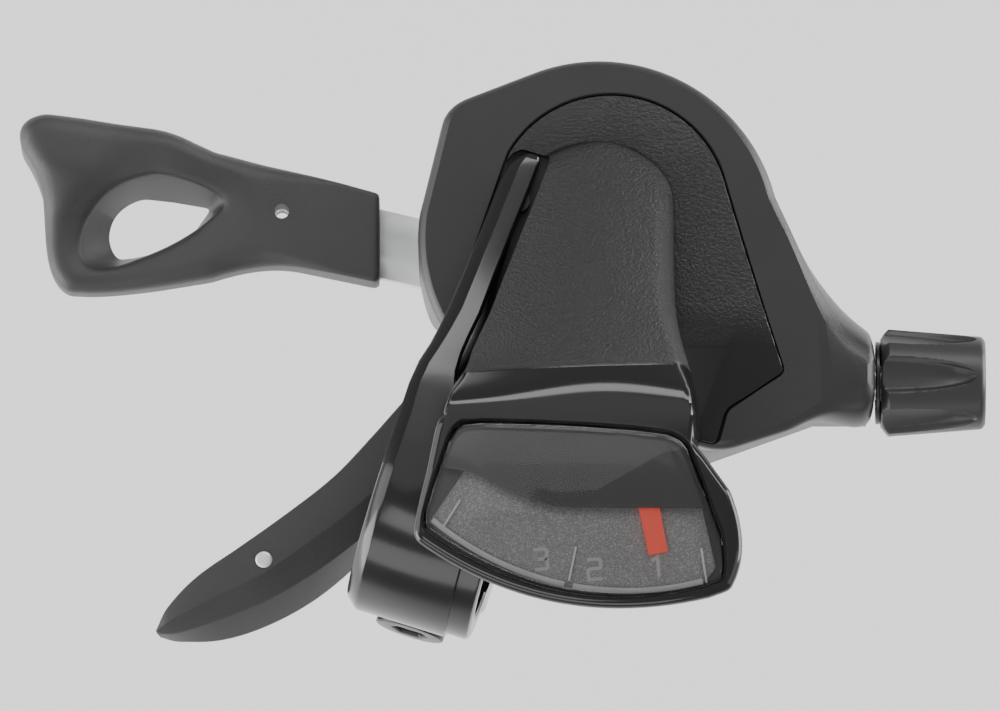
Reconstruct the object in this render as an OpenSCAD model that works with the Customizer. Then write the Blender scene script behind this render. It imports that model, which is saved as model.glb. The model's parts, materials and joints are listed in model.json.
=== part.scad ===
// Thumb shifter for a 22.2 mm handlebar: clamp, gear display, two levers, ratchet and cable adjuster.
// The origin is the centre of the handlebar bore. +X runs along the bar towards the stem,
// +Y runs forward, away from the rider, and +Z runs up towards the display.

/* [Clamp] */
// Radius of the handlebar
bar_r = 11.1; // [10.6:0.1:12.8]
// Wall of the clamp ring
ring_wall = 3.2; // [2.6:0.1:4]
// Width of the clamp band along the bar
band_w = 15.5; // [13:0.5:17]
// Gap that closes as the clamp bolt is tightened
clamp_gap = 2; // [1:0.1:2.4]
// Radius of the clamp bolt's shank
bolt_r = 2.5; // [2:0.1:2.6]
// Width of the bracket arm
arm_w = 4.4; // [4:0.1:5]

/* [Housing] */
// Radius of the round part of the housing
housing_r = 21.8; // [21:0.1:23]
// Depth of the housing below the bar's centre
housing_depth = 13; // [13:0.1:15]
// Wall of the housing
housing_wall = 2; // [1.6:0.1:2.2]
// Height of the housing's rim above the bar's centre
rim_z = 2; // [1.8:0.1:3]
// Thickness of the base plate
base_t = 1.8; // [1.4:0.1:2.2]

/* [Cover and display] */
// Height of the display pod's top above the bar's centre
pod_top = 20.5; // [20:0.1:23]
// Depth of the display pod
pod_depth = 5.7; // [5.5:0.1:6.5]
// Wall of the centre cover
cover_wall = 1.4; // [1:0.1:1.6]
// Thickness of the window lens
lens_t = 1.6; // [1.2:0.1:2]
// Thickness of the dial plate
dial_t = 0.6; // [0.4:0.1:0.8]

/* [Spool] */
// Radius of the main axle
axle_r = 3; // [2.5:0.1:3.3]
// Radius of the spool's flanges
flange_r = 14; // [13:0.1:14.1]
// Radius that the cable winds on
winding_r = 12.4; // [11:0.1:12.6]
// Thickness of the ratchet plate
ratchet_t = 1.5; // [1.2:0.1:1.6]
// Turn of the spool from one gear to the next
gear_step = 24; // [20:1:26]
// Distance of the indicator drive pin from the axle
drive_r = 6.75; // [6.3:0.05:7.5]

/* [Levers] */
// Thickness of the release lever's steel
release_t = 1.5; // [1.2:0.1:1.6]
// Width of the release lever's strip
strip_w = 8.2; // [6:0.1:9]
// Thickness of the thumb lever's steel
thumb_t = 1.6; // [1.2:0.1:1.8]
// Depth of the thumb pad
thumb_depth = 6.6; // [6:0.1:8]
// Depth of the release paddle's grip
paddle_depth = 6.5; // [5:0.1:7]
// Radius of the feed pawl's pin
feed_pin_r = 1.2; // [1:0.1:1.3]
// Radius of the holding pawl's pin
holding_pin_r = 1.3; // [1:0.1:1.5]

/* [Cable adjuster] */
// Radius of the barrel adjuster at its inner end
knob_r = 6.6; // [6:0.1:7.2]
// Length of the barrel adjuster
knob_l = 12.6; // [11:0.1:15]
// Radius of the cable housing's socket
socket_r = 2.55; // [2.1:0.05:2.7]
// Depth of the cable housing's socket
socket_depth = 7.9; // [6:0.1:8]
// Radius of the adjuster's threaded stem
stem_r = 2.1; // [1.8:0.1:2.2]

/* [Fits] */
// Radial clearance of running fits
running_gap = 0.05; // [0.02:0.01:0.09]
// Gap round covers and screws that do not move
loose_gap = 0.15; // [0.1:0.05:0.2]
// Gap between moving pieces that pass each other
pass_gap = 0.3; // [0.25:0.05:0.4]

/* [Hidden] */
$fn = 64;

// The mechanism is turned about its axle by this angle to the bar
unit_yaw = 17.5;
axle_xy = [10, 33.5];
cut = 0.01;
over = 1;

// Levels along the axle, from the top down
plate_t = 2.3;
plate_z = rim_z - plate_t;
cover_seat_z = rim_z - 1.2;
spool_top = plate_z - 1.4;
spool_bottom = spool_top - 6.7;
cable_z = spool_top - 3.8;
ratchet_z = spool_bottom - 0.1 - ratchet_t;
base_top = -housing_depth;
base_z = base_top - base_t;
release_z = base_z - 0.5 - release_t;
thumb_top = release_z - 3.3;
thumb_z = thumb_top - thumb_t;
washer_top = thumb_z - 2.5;
washer_t = 0.8;
nut_t = 2.4;
nut_z = washer_top - washer_t - nut_t;
axle_end_z = nut_z - 0.3;
cover_floor_z = axle_end_z - 0.3;
floor_t = 1.6;
lower_setback = 2;

// Clamp
ring_r = bar_r + ring_wall;
bolt_z = -(bar_r + 1 + bolt_r);
bolt_head_r = bolt_r * 1.7;
ear_bottom = bolt_z - bolt_head_r - 0.05;
ear_y = 8;
bolt_head_l = 5;
arm_front = [-2.4, 41.8];
arm_rear = [-4.6, 15.5];
arm_low = 2.6;
arm_high = 10.8;
arm_screws = [[-2.5, 38.5], [-3.5, 29]];
arm_screw_r = 1.5;

// Housing and covers, in the mechanism's own frame
round_c = [-0.6, 4.1];
nose_x = 32.5;
adjuster_y = -winding_r;
nose_solid_x = 21;
boss_r = 2.2;
base_screw_at = [[23.5, -5.2], [-15.4, 16.2], [-13.6, -10.8]];
base_screw_r = 1.25;
cover_screw_at = [[18, -11.5], [13.2, 12.6]];
arch_c = [0.8, 7.4];
arch_r = 14.1;

// Display
pod_floor = pod_top - pod_depth;
pod_floor_t = 1;
dial_z = pod_floor + pod_floor_t;
needle_z = dial_z + dial_t + 0.35;
needle_t = 0.6;
mask_z = needle_z + needle_t + 0.35;
mask_t = 0.4;
lens_z = mask_z + mask_t + 0.1;
dial_tilt = -1.8;
pivot_r = 15.3;
pivot_pin_r = 1.25;
drive_pin_r = 1;
needle_arm_z = spool_top + 1.5;
needle_arm_t = 1;
ramp_start = 25;
ramp_end = 37.5;
needle_tip = 52.4;
needle_rest = atan(drive_r * sin(gear_step) / (pivot_r + drive_r * cos(gear_step)));

// Levers and pawls
strip_angle = 166.5;
strip_end = 42;
paddle_hole_at = [40.2, 165.8];
thumb_angle = 219;
thumb_rivet_at = [51.9, 217.6];
thumb_rivet_r = 1.05;
pad_skin = 0.8;
feed_pin_at = [17, 145];
holding_pin_at = [18, 60];
tab_at = [21.4, 68];
tab_r = 0.8;
paddle_z = release_z - 1.3;
paddle_grip_z = paddle_z + paddle_depth;
lip_h = 2.6;

// Cable adjuster
knob_x = nose_x + 0.8;
knob_taper = 1;
flutes = 6;
insert_x = 22.5;
insert_l = 5;
insert_r = 4;
spring_seat_x = insert_x + insert_l;

function polar(at) = [at[0] * cos(at[1]), at[0] * sin(at[1])];
function arc(c, r, a0, a1, n) = [for (i = [0:n]) c + r * [cos(a0 + (a1 - a0) * i / n), sin(a0 + (a1 - a0) * i / n)]];
function bend(a, b, c, n) = [for (i = [0:n]) let (t = i / n) (1 - t) * (1 - t) * a + 2 * t * (1 - t) * b + t * t * c];

// Outline of the housing, seen from above
function housing_outline() = concat(
    [[13.8, -22.0], [25.6, -18.2], [31.2, -19.0], [nose_x, -17.2], [nose_x, -9.0]],
    bend([32.0, -7.0], [24.6, -0.2], round_c + housing_r * [cos(14), sin(14)], 10),
    arc(round_c, housing_r, 18, 112, 20),
    bend([-16.0, 21.5], [-18.9, 20.5], [-19.5, 18.2], 3),
    arc(round_c, housing_r, 172, 208, 8),
    [[-15.5, -12.6]]);

// The lower pieces are set back under the housing on the rider's side, and more so under the nose
module lower_outline(inset) {
    intersection() {
        offset(delta = -inset) polygon(housing_outline());
        translate([0, lower_setback + inset]) polygon(housing_outline());
        behind_nose(lower_setback + inset);
    }
}

// All but the room under the nose
module behind_nose(inset) {
    translate([0, inset])
        polygon([[-40, -40], [11.5, -40], [11.5, -21.1], [25.6, -16], [40, -16], [40, 40], [-40, 40]]);
}

// Outline of the centre cover where it is let into the housing
function seam_outline() = concat(
    bend([21.6, -12.3], [17.6, 0], arch_c + arch_r * [cos(15), sin(15)], 10),
    arc(arch_c, arch_r, 20, 150, 20),
    [[-18.6, -6.6], [-15.0, -12.2], [13.4, -21.2], [14.6, -16.9]]);

// Outline of the raised dome at its foot
function dome_foot() = concat(
    [[12.6, -20.6], [13.6, -16.8], [8.3, -8.5]],
    arc([0.7, 8.2], 7.6, 0, 150, 12),
    [[-10.4, 0.6], [-14.2, -9.2], [-13.6, -12.4]]);
function dome_middle() = concat(
    [[12.0, -21.4], [12.2, -18.2], [7.4, -9.0]],
    arc([0.2, 0.6], 6.8, 0, 130, 8),
    [[-12.6, -7.0], [-16.4, -13.0], [-15.6, -17.0]]);
function dome_top() = [[9.8, -25.0], [9.6, -22.2], [6.6, -17.2], [5.0, -16.0], [-16.6, -17.6], [-18.4, -19.4], [-19.0, -24.0]];

// Outlines of the display pod, its window, its dial and its mask
function pod_outline() = concat(
    [[7.0, -16.8], [4.6, -15.6], [-17.0, -17.2], [-19.4, -19.4]],
    bend([-21.0, -26.4], [-22.4, -31.6], [-22.9, -34.2], 4),
    bend([-22.7, -35.6], [-7.0, -47.2], [12.3, -42.7], 14),
    bend([14.8, -41.8], [17.7, -36.6], [14.9, -29.8], 8),
    [[11.0, -24.6]]);
function window_outline() = concat(
    bend([10.0, -25.0], [9.4, -22.8], [7.2, -22.6], 5),
    bend([4.0, -22.2], [-6.0, -21.4], [-15.0, -21.3], 6),
    bend([-17.4, -21.4], [-18.6, -22.2], [-19.0, -24.4], 5),
    [[-21.9, -33.2]],
    bend([-21.4, -34.4], [-6.2, -45.8], [11.6, -41.1], 14),
    bend([14.0, -40.2], [14.4, -38.4], [13.7, -35.2], 5));
function dial_outline() = concat(
    [[-15.8, -25.4], [-21.2, -33.0]],
    bend([-20.6, -33.8], [-5.8, -44.6], [11.4, -40.4], 12),
    [[13.4, -38.6], [11.2, -29.8], [-4.4, -29.8]]);
function mask_outline() = concat(
    bend([9.6, -24.6], [9.0, -22.9], [7.0, -22.9], 4),
    [[-15.2, -21.8], [-18.2, -22.9], [-19.0, -25.0]],
    bend([-15.6, -27.1], [-8.0, -31.6], [-4.4, -31.6], 6),
    [[11.6, -31.8]]);

// Outlines of the two finger pieces, seen from above
function paddle_outline() = concat(
    bend([-70.4, 17.0], [-72.1, 20.9], [-67.6, 21.6], 5),
    [[-62.8, 21.1], [-58.3, 20.5]],
    bend([-54.6, 20.0], [-52.0, 19.6], [-49.4, 18.3], 4),
    [[-46.2, 17.1], [-42.6, 16.4], [-27.1, 12.3], [-27.1, 1.1]],
    bend([-36.8, 3.1], [-41.2, 4.0], [-47.4, 1.9], 5),
    bend([-53.4, 0.9], [-59.0, 0.1], [-62.6, 0.1], 3),
    bend([-66.8, 0.1], [-67.5, 2.7], [-67.7, 6.4], 4),
    bend([-68.0, 11.6], [-68.6, 14.2], [-70.4, 17.0], 4));

// The finger loop is wide at its top and narrow below
function loop_top() = concat(
    bend([-63.5, 5.1], [-63.3, 10.6], [-57.8, 13.3], 6),
    bend([-54.2, 14.3], [-49.2, 13.4], [-46.8, 11.9], 5),
    bend([-45.6, 10.9], [-49.8, 7.0], [-54.6, 5.0], 5),
    bend([-58.8, 3.4], [-63.4, 2.4], [-63.5, 5.1], 5));
function loop_low() = concat(
    bend([-60.0, 7.6], [-59.8, 11.2], [-55.8, 12.3], 5),
    [[-47.6, 11.1]],
    bend([-50.2, 7.4], [-53.2, 5.8], [-56.6, 4.9], 4),
    bend([-58.8, 4.6], [-59.9, 5.8], [-60.0, 7.6], 3));
function thumb_outline() = concat(
    bend([-54.0, -38.8], [-52.2, -35.6], [-47.2, -32.0], 5),
    bend([-40.2, -27.3], [-30.6, -21.0], [-23.9, -11.6], 8),
    [[-20.0, -8.6], [-16.0, -12.0], [-19.5, -18.6], [-25.0, -25.6]],
    bend([-30.0, -31.5], [-38.0, -40.8], [-48.7, -41.1], 8),
    [[-52.6, -40.9], [-54.4, -40.0]]);

module unit() {
    translate([axle_xy[0], axle_xy[1], 0])
        rotate([0, 0, unit_yaw])
            children();
}

module slab(z0, z1) {
    translate([0, 0, z0])
        linear_extrude(z1 - z0)
            children();
}

module post(at, r, z0, z1) {
    translate([at[0], at[1], z0])
        cylinder(r = r, h = z1 - z0);
}

module ring(r_out, r_in, z0, z1) {
    difference() {
        post([0, 0], r_out, z0, z1);
        post([0, 0], r_in, z0 - over, z1 + over);
    }
}

// A rod along the cable's line, which leaves the housing along the mechanism's +X
module cable_rod(r, x0, x1) {
    translate([x0, adjuster_y, cable_z])
        rotate([0, 90, 0])
            cylinder(r = r, h = x1 - x0);
}

module arc_slot(r, half_w, a0, a1, z0, z1) {
    rotate([0, 0, a0])
        rotate_extrude(angle = a1 - a0)
            translate([r - half_w, z0])
                square([2 * half_w, z1 - z0]);
    for (a = [a0, a1])
        post(polar([r, a]), half_w, z0, z1);
}

// Round wire wound as a helix of the given turns, from z = 0 up to height, with its turns apart
module coil(r, wire_r, turns, height) {
    sides = 8;
    steps = ceil(turns * 18);
    rise = height - 2 * wire_r;
    points = [for (i = [0:steps], k = [0:sides - 1])
        let (a = 360 * turns * i / steps, s = 360 * k / sides)
            [(r + wire_r * cos(s)) * cos(a), (r + wire_r * cos(s)) * sin(a),
             wire_r + rise * i / steps + wire_r * sin(s)]];
    sides_faces = [for (i = [0:steps - 1], k = [0:sides - 1])
        [i * sides + k, i * sides + (k + 1) % sides, (i + 1) * sides + (k + 1) % sides, (i + 1) * sides + k]];
    ends = [[for (k = [0:sides - 1]) sides - 1 - k], [for (k = [0:sides - 1]) steps * sides + k]];
    polyhedron(points, concat(sides_faces, ends), convexity = 6);
}

// A flat finger from one round end to another
module finger(a, ra, b, rb, z0, z1) {
    slab(z0, z1)
        hull() {
            translate(a) circle(r = ra, $fn = 32);
            translate(b) circle(r = rb, $fn = 32);
        }
}

module dome(inset) {
    top = pod_top - 0.6 - inset;
    hull() {
        slab(rim_z - 0.2, rim_z) offset(delta = -inset) polygon(dome_foot());
        slab(9 - inset, 9.1 - inset) offset(delta = -inset) polygon(dome_middle());
        slab(top - 0.1, top) offset(delta = -inset) polygon(dome_top());
    }
}

// Bracket: ring, ears and the arm that carries the housing
module arm_bar(grow, under) {
    half = arm_w / 2 + grow;
    hull() {
        post(arm_front, half, cover_seat_z - under, rim_z + arm_low / 2 + grow);
        translate([arm_rear[0] - half, arm_rear[1], cover_seat_z - under])
            cube([2 * half, 1, arm_high - cover_seat_z + under + grow]);
    }
}

module clamp_bracket() {
    color("#17181a")
        difference() {
            union() {
                translate([-band_w / 2, 0, 0])
                    rotate([0, 90, 0])
                        cylinder(r = ring_r, h = band_w, $fn = 96);
                translate([-band_w / 2, -ear_y, ear_bottom])
                    cube([band_w, 2 * ear_y, -ear_bottom - bar_r / 2]);
                arm_bar(0, 0);
                hull() {
                    translate([arm_rear[0] - arm_w / 2, arm_rear[1], cover_seat_z])
                        cube([arm_w, 1, arm_high - cover_seat_z]);
                    translate([-band_w / 2, bar_r - 3.5, -3])
                        cube([arm_w + 1.4, 2, 15]);
                }
            }
            translate([-band_w, 0, 0])
                rotate([0, 90, 0])
                    cylinder(r = bar_r, h = 2 * band_w, $fn = 96);
            translate([-band_w, -clamp_gap / 2, ear_bottom - over])
                cube([2 * band_w, clamp_gap, -ear_bottom - bar_r / 2]);
            translate([0, -ear_y, bolt_z])
                rotate([90, 0, 0])
                    cylinder(r = bolt_head_r + pass_gap, h = bolt_head_l);
            translate([0, ear_y + over, bolt_z])
                rotate([90, 0, 0])
                    cylinder(r = bolt_r + loose_gap, h = 2 * ear_y + 2 * over);
            translate([0, ear_y + over, bolt_z])
                rotate([90, 0, 0])
                    cylinder(r = bolt_r * 1.85, h = over + 3, $fn = 6);
            for (at = arm_screws)
                post(at, arm_screw_r, cover_seat_z - over, cover_seat_z + 2);
        }
}

module clamp_bolt() {
    color("#8d9094")
        difference() {
            translate([0, -ear_y, bolt_z])
                rotate([90, 0, 0]) {
                    cylinder(r = bolt_head_r, h = bolt_head_l);
                    translate([0, 0, -2 * ear_y + 0.4])
                        cylinder(r = bolt_r, h = 2 * ear_y - 0.4 + cut);
                }
            translate([0, -ear_y - bolt_head_l + 2.6, bolt_z])
                rotate([90, 0, 0])
                    cylinder(r = bolt_r * 0.92, h = 4, $fn = 6);
        }
}

module clamp_nut() {
    color("#8d9094")
        translate([0, ear_y, bolt_z])
            rotate([90, 0, 0])
                difference() {
                    translate([0, 0, 0.2])
                        cylinder(r = bolt_r * 1.8, h = 2.8, $fn = 6);
                    translate([0, 0, -over])
                        cylinder(r = bolt_r, h = 6);
                }
}

module bracket_screws() {
    color("#8d9094")
        for (at = arm_screws) {
            post(at, arm_screw_r, plate_z - cut, cover_seat_z + 1.9);
            post(at, 2.5, plate_z - 0.9, plate_z);
        }
}

module housing() {
    color("#1c1d1f")
        difference() {
            unit() {
                difference() {
                    slab(base_top, rim_z) polygon(housing_outline());
                    slab(base_top - over, plate_z)
                        difference() {
                            intersection() {
                                offset(delta = -housing_wall) polygon(housing_outline());
                                behind_nose(lower_setback + housing_wall);
                                translate([-50, -50]) square([50 + nose_solid_x, 100]);
                            }
                            for (at = base_screw_at)
                                translate(at) circle(r = boss_r);
                        }
                    slab(cover_seat_z, rim_z + over) offset(delta = loose_gap) polygon(seam_outline());
                    slab(plate_z - over, rim_z)
                        polygon(concat(arc([0.5, 15.3], 3, 20, 160, 8), [[-5.2, 6], [-9.2, -9], [-6, -12.2], [9.5, -14.5]]));
                    for (at = base_screw_at)
                        post(at, base_screw_r, base_top - over, base_top + 8);
                    cable_rod(4.6, spring_seat_x, nose_x + over);
                    cable_rod(insert_r, insert_x, spring_seat_x + cut);
                    cable_rod(1.4, nose_solid_x - over, insert_x + cut);
                }
            }
            for (at = arm_screws)
                post(at, arm_screw_r + 0.1, plate_z - over, rim_z);
            arm_bar(loose_gap, 0);
        }
}

module centre_cover() {
    color("#1a1b1d")
        difference() {
            unit()
                difference() {
                    union() {
                        slab(cover_seat_z, rim_z) polygon(seam_outline());
                        dome(0);
                        slab(pod_floor, pod_top) polygon(pod_outline());
                    }
                    dome(cover_wall);
                    slab(cover_seat_z - over, rim_z + 0.4)
                        offset(delta = -cover_wall - 0.6)
                            intersection() {
                                polygon(dome_foot());
                                translate([-8.6, -30]) square([32, 43.2]);
                            }
                    slab(dial_z, pod_top - 1.8) offset(delta = -1) polygon(pod_outline());
                    slab(dial_z, pod_top + over) offset(delta = loose_gap) polygon(window_outline());
                }
            arm_bar(pass_gap, pass_gap);
        }
}

module window_lens() {
    color("#9fb0b8", 0.5)
        unit() slab(lens_z, lens_z + lens_t) polygon(window_outline());
}

module window_mask() {
    color("#0c0d0e")
        unit() slab(mask_z, mask_z + mask_t) polygon(mask_outline());
}

module dial_plate() {
    color("#4c4f52")
        unit() slab(dial_z, dial_z + dial_t) polygon(dial_outline());
}

module base_plate() {
    color("#6f7276")
        unit()
            difference() {
                slab(base_z, base_top) lower_outline(0.4);
                post([0, 0], axle_r + running_gap, base_z - over, base_top + over);
                post(polar(holding_pin_at), holding_pin_r, base_z - over, base_top + over);
                arc_slot(feed_pin_at[0], feed_pin_r + 0.5, 109, 146, base_z - over, base_top + over);
                arc_slot(tab_at[0], tab_r + 0.4, 66, 78, base_z - over, base_top + over);
                for (at = base_screw_at)
                    post(at, base_screw_r + loose_gap, base_z - over, base_top + over);
                for (at = cover_screw_at)
                    post(at, base_screw_r, base_z - over, base_top + over);
            }
}

module base_screws() {
    color("#8d9094")
        unit()
            for (at = base_screw_at) {
                post(at, base_screw_r, base_z - cut, base_top + 7.5);
                difference() {
                    post(at, 2.1, base_z - 0.45, base_z);
                    post(at, 0.8, base_z - 1, base_z - 0.2);
                }
            }
}

module main_axle() {
    color("#9a9da1")
        unit() {
            post([0, 0], axle_r, axle_end_z, spool_top + 0.1 + cut);
            post([0, 0], 4.8, spool_top + 0.1, spool_top + 1.1);
        }
}

module axle_washer() {
    color("#9a9da1")
        unit() ring(6, axle_r + running_gap, washer_top - washer_t, washer_top);
}

module axle_nut() {
    color("#8d9094")
        unit()
            difference() {
                translate([0, 0, nut_z]) cylinder(r = 5.6, h = nut_t, $fn = 6);
                post([0, 0], axle_r, nut_z - over, nut_z + nut_t + over);
            }
}

module spacer_bush() {
    color("#b98f4a")
        unit() ring(5, axle_r + running_gap, base_top, ratchet_z - 0.05);
}

module lever_bushes() {
    color("#b98f4a")
        unit() {
            ring(4.6, axle_r + running_gap, release_z + release_t + 0.05, base_z);
            ring(4.6, axle_r + running_gap, thumb_top + 0.05, release_z - 0.05);
            ring(4.6, axle_r + running_gap, washer_top, thumb_z - 0.05);
        }
}

module lower_cover() {
    color("#1c1d1f")
        unit()
            difference() {
                slab(cover_floor_z - floor_t, base_z)
                    difference() {
                        lower_outline(0.4);
                        polygon([[-60, -60], [-3, -60], [-3, -9], [-10, -9], [-10, 11], [0.5, 11], [0.5, 60], [-60, 60]]);
                    }
                slab(cover_floor_z, base_z + over)
                    difference() {
                        lower_outline(1.6);
                        for (at = cover_screw_at)
                            translate(at) circle(r = boss_r);
                    }
                for (at = cover_screw_at) {
                    post(at, base_screw_r + loose_gap, cover_floor_z - floor_t - over, base_z + over);
                    post(at, 2, cover_floor_z - floor_t - over, cover_floor_z - floor_t + 1);
                }
                for (at = base_screw_at)
                    post(at, 2.1 + loose_gap, base_z - 0.6, base_z + over);
            }
}

module cover_screws() {
    color("#8d9094")
        unit()
            for (at = cover_screw_at) {
                post(at, base_screw_r, cover_floor_z - floor_t + 1 - cut, base_top - 0.2);
                post(at, 1.9, cover_floor_z - floor_t + 0.1, cover_floor_z - floor_t + 1);
            }
}

module holding_pawl_pin() {
    color("#9a9da1")
        unit() post(polar(holding_pin_at), holding_pin_r, base_z, spool_bottom + 2.2);
}

module indicator_pivot() {
    color("#9a9da1")
        unit() {
            at = polar([pivot_r, 90 + dial_tilt]);
            post(at, pivot_pin_r, needle_arm_z - 0.1, cover_seat_z);
            post(at, 2, needle_arm_z - 0.6, needle_arm_z - 0.1 + cut);
        }
}

module adjuster_insert() {
    color("#b98f4a")
        unit()
            difference() {
                cable_rod(insert_r, insert_x, spring_seat_x);
                cable_rod(stem_r + 2 * running_gap, insert_x - over, spring_seat_x + over);
            }
}

module thumb_lever_spring() {
    color("#a4a7ab")
        unit() translate([0, 0, washer_top + 0.1]) coil(6.6, 0.35, 1.6, thumb_z - washer_top - 0.2);
}

module release_lever_spring() {
    color("#a4a7ab")
        unit() translate([0, 0, thumb_top + 0.1]) coil(6.6, 0.35, 1.6, release_z - thumb_top - 0.2);
}

module spool_spring() {
    color("#a4a7ab")
        unit() translate([0, 0, base_top + 0.1]) coil(8.4, 0.4, 1.8, ratchet_z - base_top - 0.2);
}

module cable_spool() {
    groove = winding_r - 0.6;
    color("#2a2b2d")
        unit()
            difference() {
                rotate_extrude($fn = 96)
                    polygon([[axle_r + running_gap, spool_bottom], [flange_r, spool_bottom],
                        [flange_r, cable_z - 2.1], [groove, cable_z - 0.6], [groove, cable_z + 0.6],
                        [flange_r, cable_z + 2.1], [flange_r, spool_top - 0.9], [10, spool_top - 0.9],
                        [10, spool_top], [axle_r + running_gap, spool_top]]);
                post(polar([drive_r, -90 + dial_tilt + gear_step]), drive_pin_r, spool_top - 2.5, spool_top + over);
                post(polar([winding_r - 1.4, 215]), 2.3, cable_z - 2.4, cable_z + 2.4);
                rotate([0, 0, 215])
                    translate([winding_r - 1.4, -0.7, cable_z - 0.7])
                        cube([4, 1.4, 1.4]);
            }
}

module ratchet_plate() {
    color("#9a9da1")
        unit()
            difference() {
                slab(ratchet_z, ratchet_z + ratchet_t)
                    difference() {
                        circle(r = flange_r, $fn = 96);
                        for (first = [18, 96], k = [0:2])
                            rotate([0, 0, first + gear_step * (k - 1)])
                                polygon([[flange_r - 2.4, 0], [flange_r + 1, 0], [flange_r + 1, 3.4], [flange_r - 1, 2.6]]);
                    }
                post([0, 0], axle_r + running_gap, ratchet_z - over, ratchet_z + 2 * over);
            }
}

module indicator_drive_pin() {
    color("#9a9da1")
        unit()
            post(polar([drive_r, -90 + dial_tilt + gear_step]), drive_pin_r, spool_top - 2.5, needle_arm_z + needle_arm_t);
}

module thumb_lever_plate() {
    color("#8f9296")
        unit()
            difference() {
                union() {
                    post([0, 0], 8, thumb_z, thumb_top);
                    thumb_strip();
                    finger([0, 0], 7.6, polar(feed_pin_at), 2.6, thumb_z, thumb_top);
                }
                post([0, 0], axle_r + running_gap, thumb_z - over, thumb_top + over);
                post(polar(feed_pin_at), feed_pin_r, thumb_z - over, thumb_top + over);
                post(polar(thumb_rivet_at), thumb_rivet_r, thumb_z - over, thumb_top + over);
            }
}

// The strip that carries the thumb pad
module thumb_strip() {
    finger([0, 0], 7.6, polar([34, thumb_angle]), 3.2, thumb_z, thumb_top);
    finger(polar([34, thumb_angle]), 3.2, polar(thumb_rivet_at), 2, thumb_z, thumb_top);
}

module thumb_pad() {
    pad_top = thumb_top + pad_skin;
    pad_bottom = pad_top - thumb_depth;
    color("#26272a")
        unit()
            difference() {
                slab(pad_bottom, pad_top) polygon(thumb_outline());
                post([0, 0], 24.5, pad_bottom - over, pad_top + over);
                thumb_strip();
                post(polar(thumb_rivet_at), thumb_rivet_r, pad_bottom - over, pad_top + over);
            }
}

module thumb_pad_rivet() {
    pad_top = thumb_top + pad_skin;
    color("#b9bcc0")
        unit()
            post(polar(thumb_rivet_at), thumb_rivet_r, pad_top - thumb_depth + 0.2, pad_top);
}

module feed_pawl_pin() {
    color("#9a9da1")
        unit() post(polar(feed_pin_at), feed_pin_r, thumb_z, ratchet_z + ratchet_t + 0.5);
}

module feed_pawl() {
    a = feed_pin_at[1];
    color("#7d8084")
        unit()
            difference() {
                union() {
                    finger(polar(feed_pin_at), 2.2, polar([16.4, a - 11]), 1.3, ratchet_z, ratchet_z + ratchet_t);
                    finger(polar([16.4, a - 11]), 1.3, polar([flange_r + 1.05, a - 21]), 0.7, ratchet_z, ratchet_z + ratchet_t);
                }
                post(polar(feed_pin_at), feed_pin_r + running_gap, ratchet_z - over, ratchet_z + 2 * over);
            }
}

module feed_pawl_spring() {
    color("#a4a7ab")
        unit()
            translate(concat(polar(feed_pin_at), [ratchet_z - 2]))
                coil(1.8, 0.25, 1.8, 1.8);
}

module release_lever_plate() {
    top = release_z + release_t;
    color("#c3c6ca")
        unit()
            difference() {
                union() {
                    post([0, 0], 8, release_z, top);
                    rotate([0, 0, strip_angle])
                        translate([0, -strip_w / 2, release_z])
                            cube([strip_end, strip_w, release_t]);
                    finger([0, 0], 7, polar(tab_at), 1.25, release_z, top);
                }
                post([0, 0], axle_r + running_gap, release_z - over, top + over);
                post(polar(tab_at), tab_r, release_z - over, top + over);
                post(polar(paddle_hole_at), 0.9, release_z - over, top + over);
            }
}

module release_paddle() {
    color("#202124")
        unit()
            difference() {
                union() {
                    slab(paddle_z, paddle_grip_z) polygon(paddle_outline());
                    slab(paddle_grip_z - cut, paddle_grip_z + lip_h)
                        intersection() {
                            difference() {
                                polygon(paddle_outline());
                                translate([2.4, -4.2]) polygon(paddle_outline());
                            }
                            translate([-80, 2]) square([36, 30]);
                        }
                }
                hull() {
                    slab(paddle_grip_z, paddle_grip_z + lip_h + over) polygon(loop_top());
                    slab(paddle_z - over, paddle_z) polygon(loop_low());
                }
                rotate([0, 0, strip_angle])
                    translate([0, -strip_w / 2, release_z])
                        cube([strip_end, strip_w, release_t]);
                post(polar(paddle_hole_at), 0.9, paddle_z - over, paddle_grip_z + over);
            }
}

module release_tab() {
    color("#9a9da1")
        unit() post(polar(tab_at), tab_r, release_z, ratchet_z + ratchet_t + 0.3);
}

module holding_pawl() {
    a = holding_pin_at[1];
    color("#7d8084")
        unit()
            difference() {
                union() {
                    finger(polar(holding_pin_at), 2.6, polar([16.6, a - 17]), 1.4, ratchet_z, ratchet_z + ratchet_t);
                    finger(polar([16.6, a - 17]), 1.4, polar([flange_r + 1.05, a - 31]), 0.7, ratchet_z, ratchet_z + ratchet_t);
                    finger(polar(holding_pin_at), 2.2, polar([20, a + 19]), 1.3, ratchet_z, ratchet_z + ratchet_t);
                }
                post(polar(holding_pin_at), holding_pin_r + running_gap, ratchet_z - over, ratchet_z + 2 * over);
            }
}

module holding_pawl_spring() {
    color("#a4a7ab")
        unit()
            translate(concat(polar(holding_pin_at), [spool_bottom + 0.1]))
                coil(1.9, 0.25, 1.8, 1.8);
}

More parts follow.
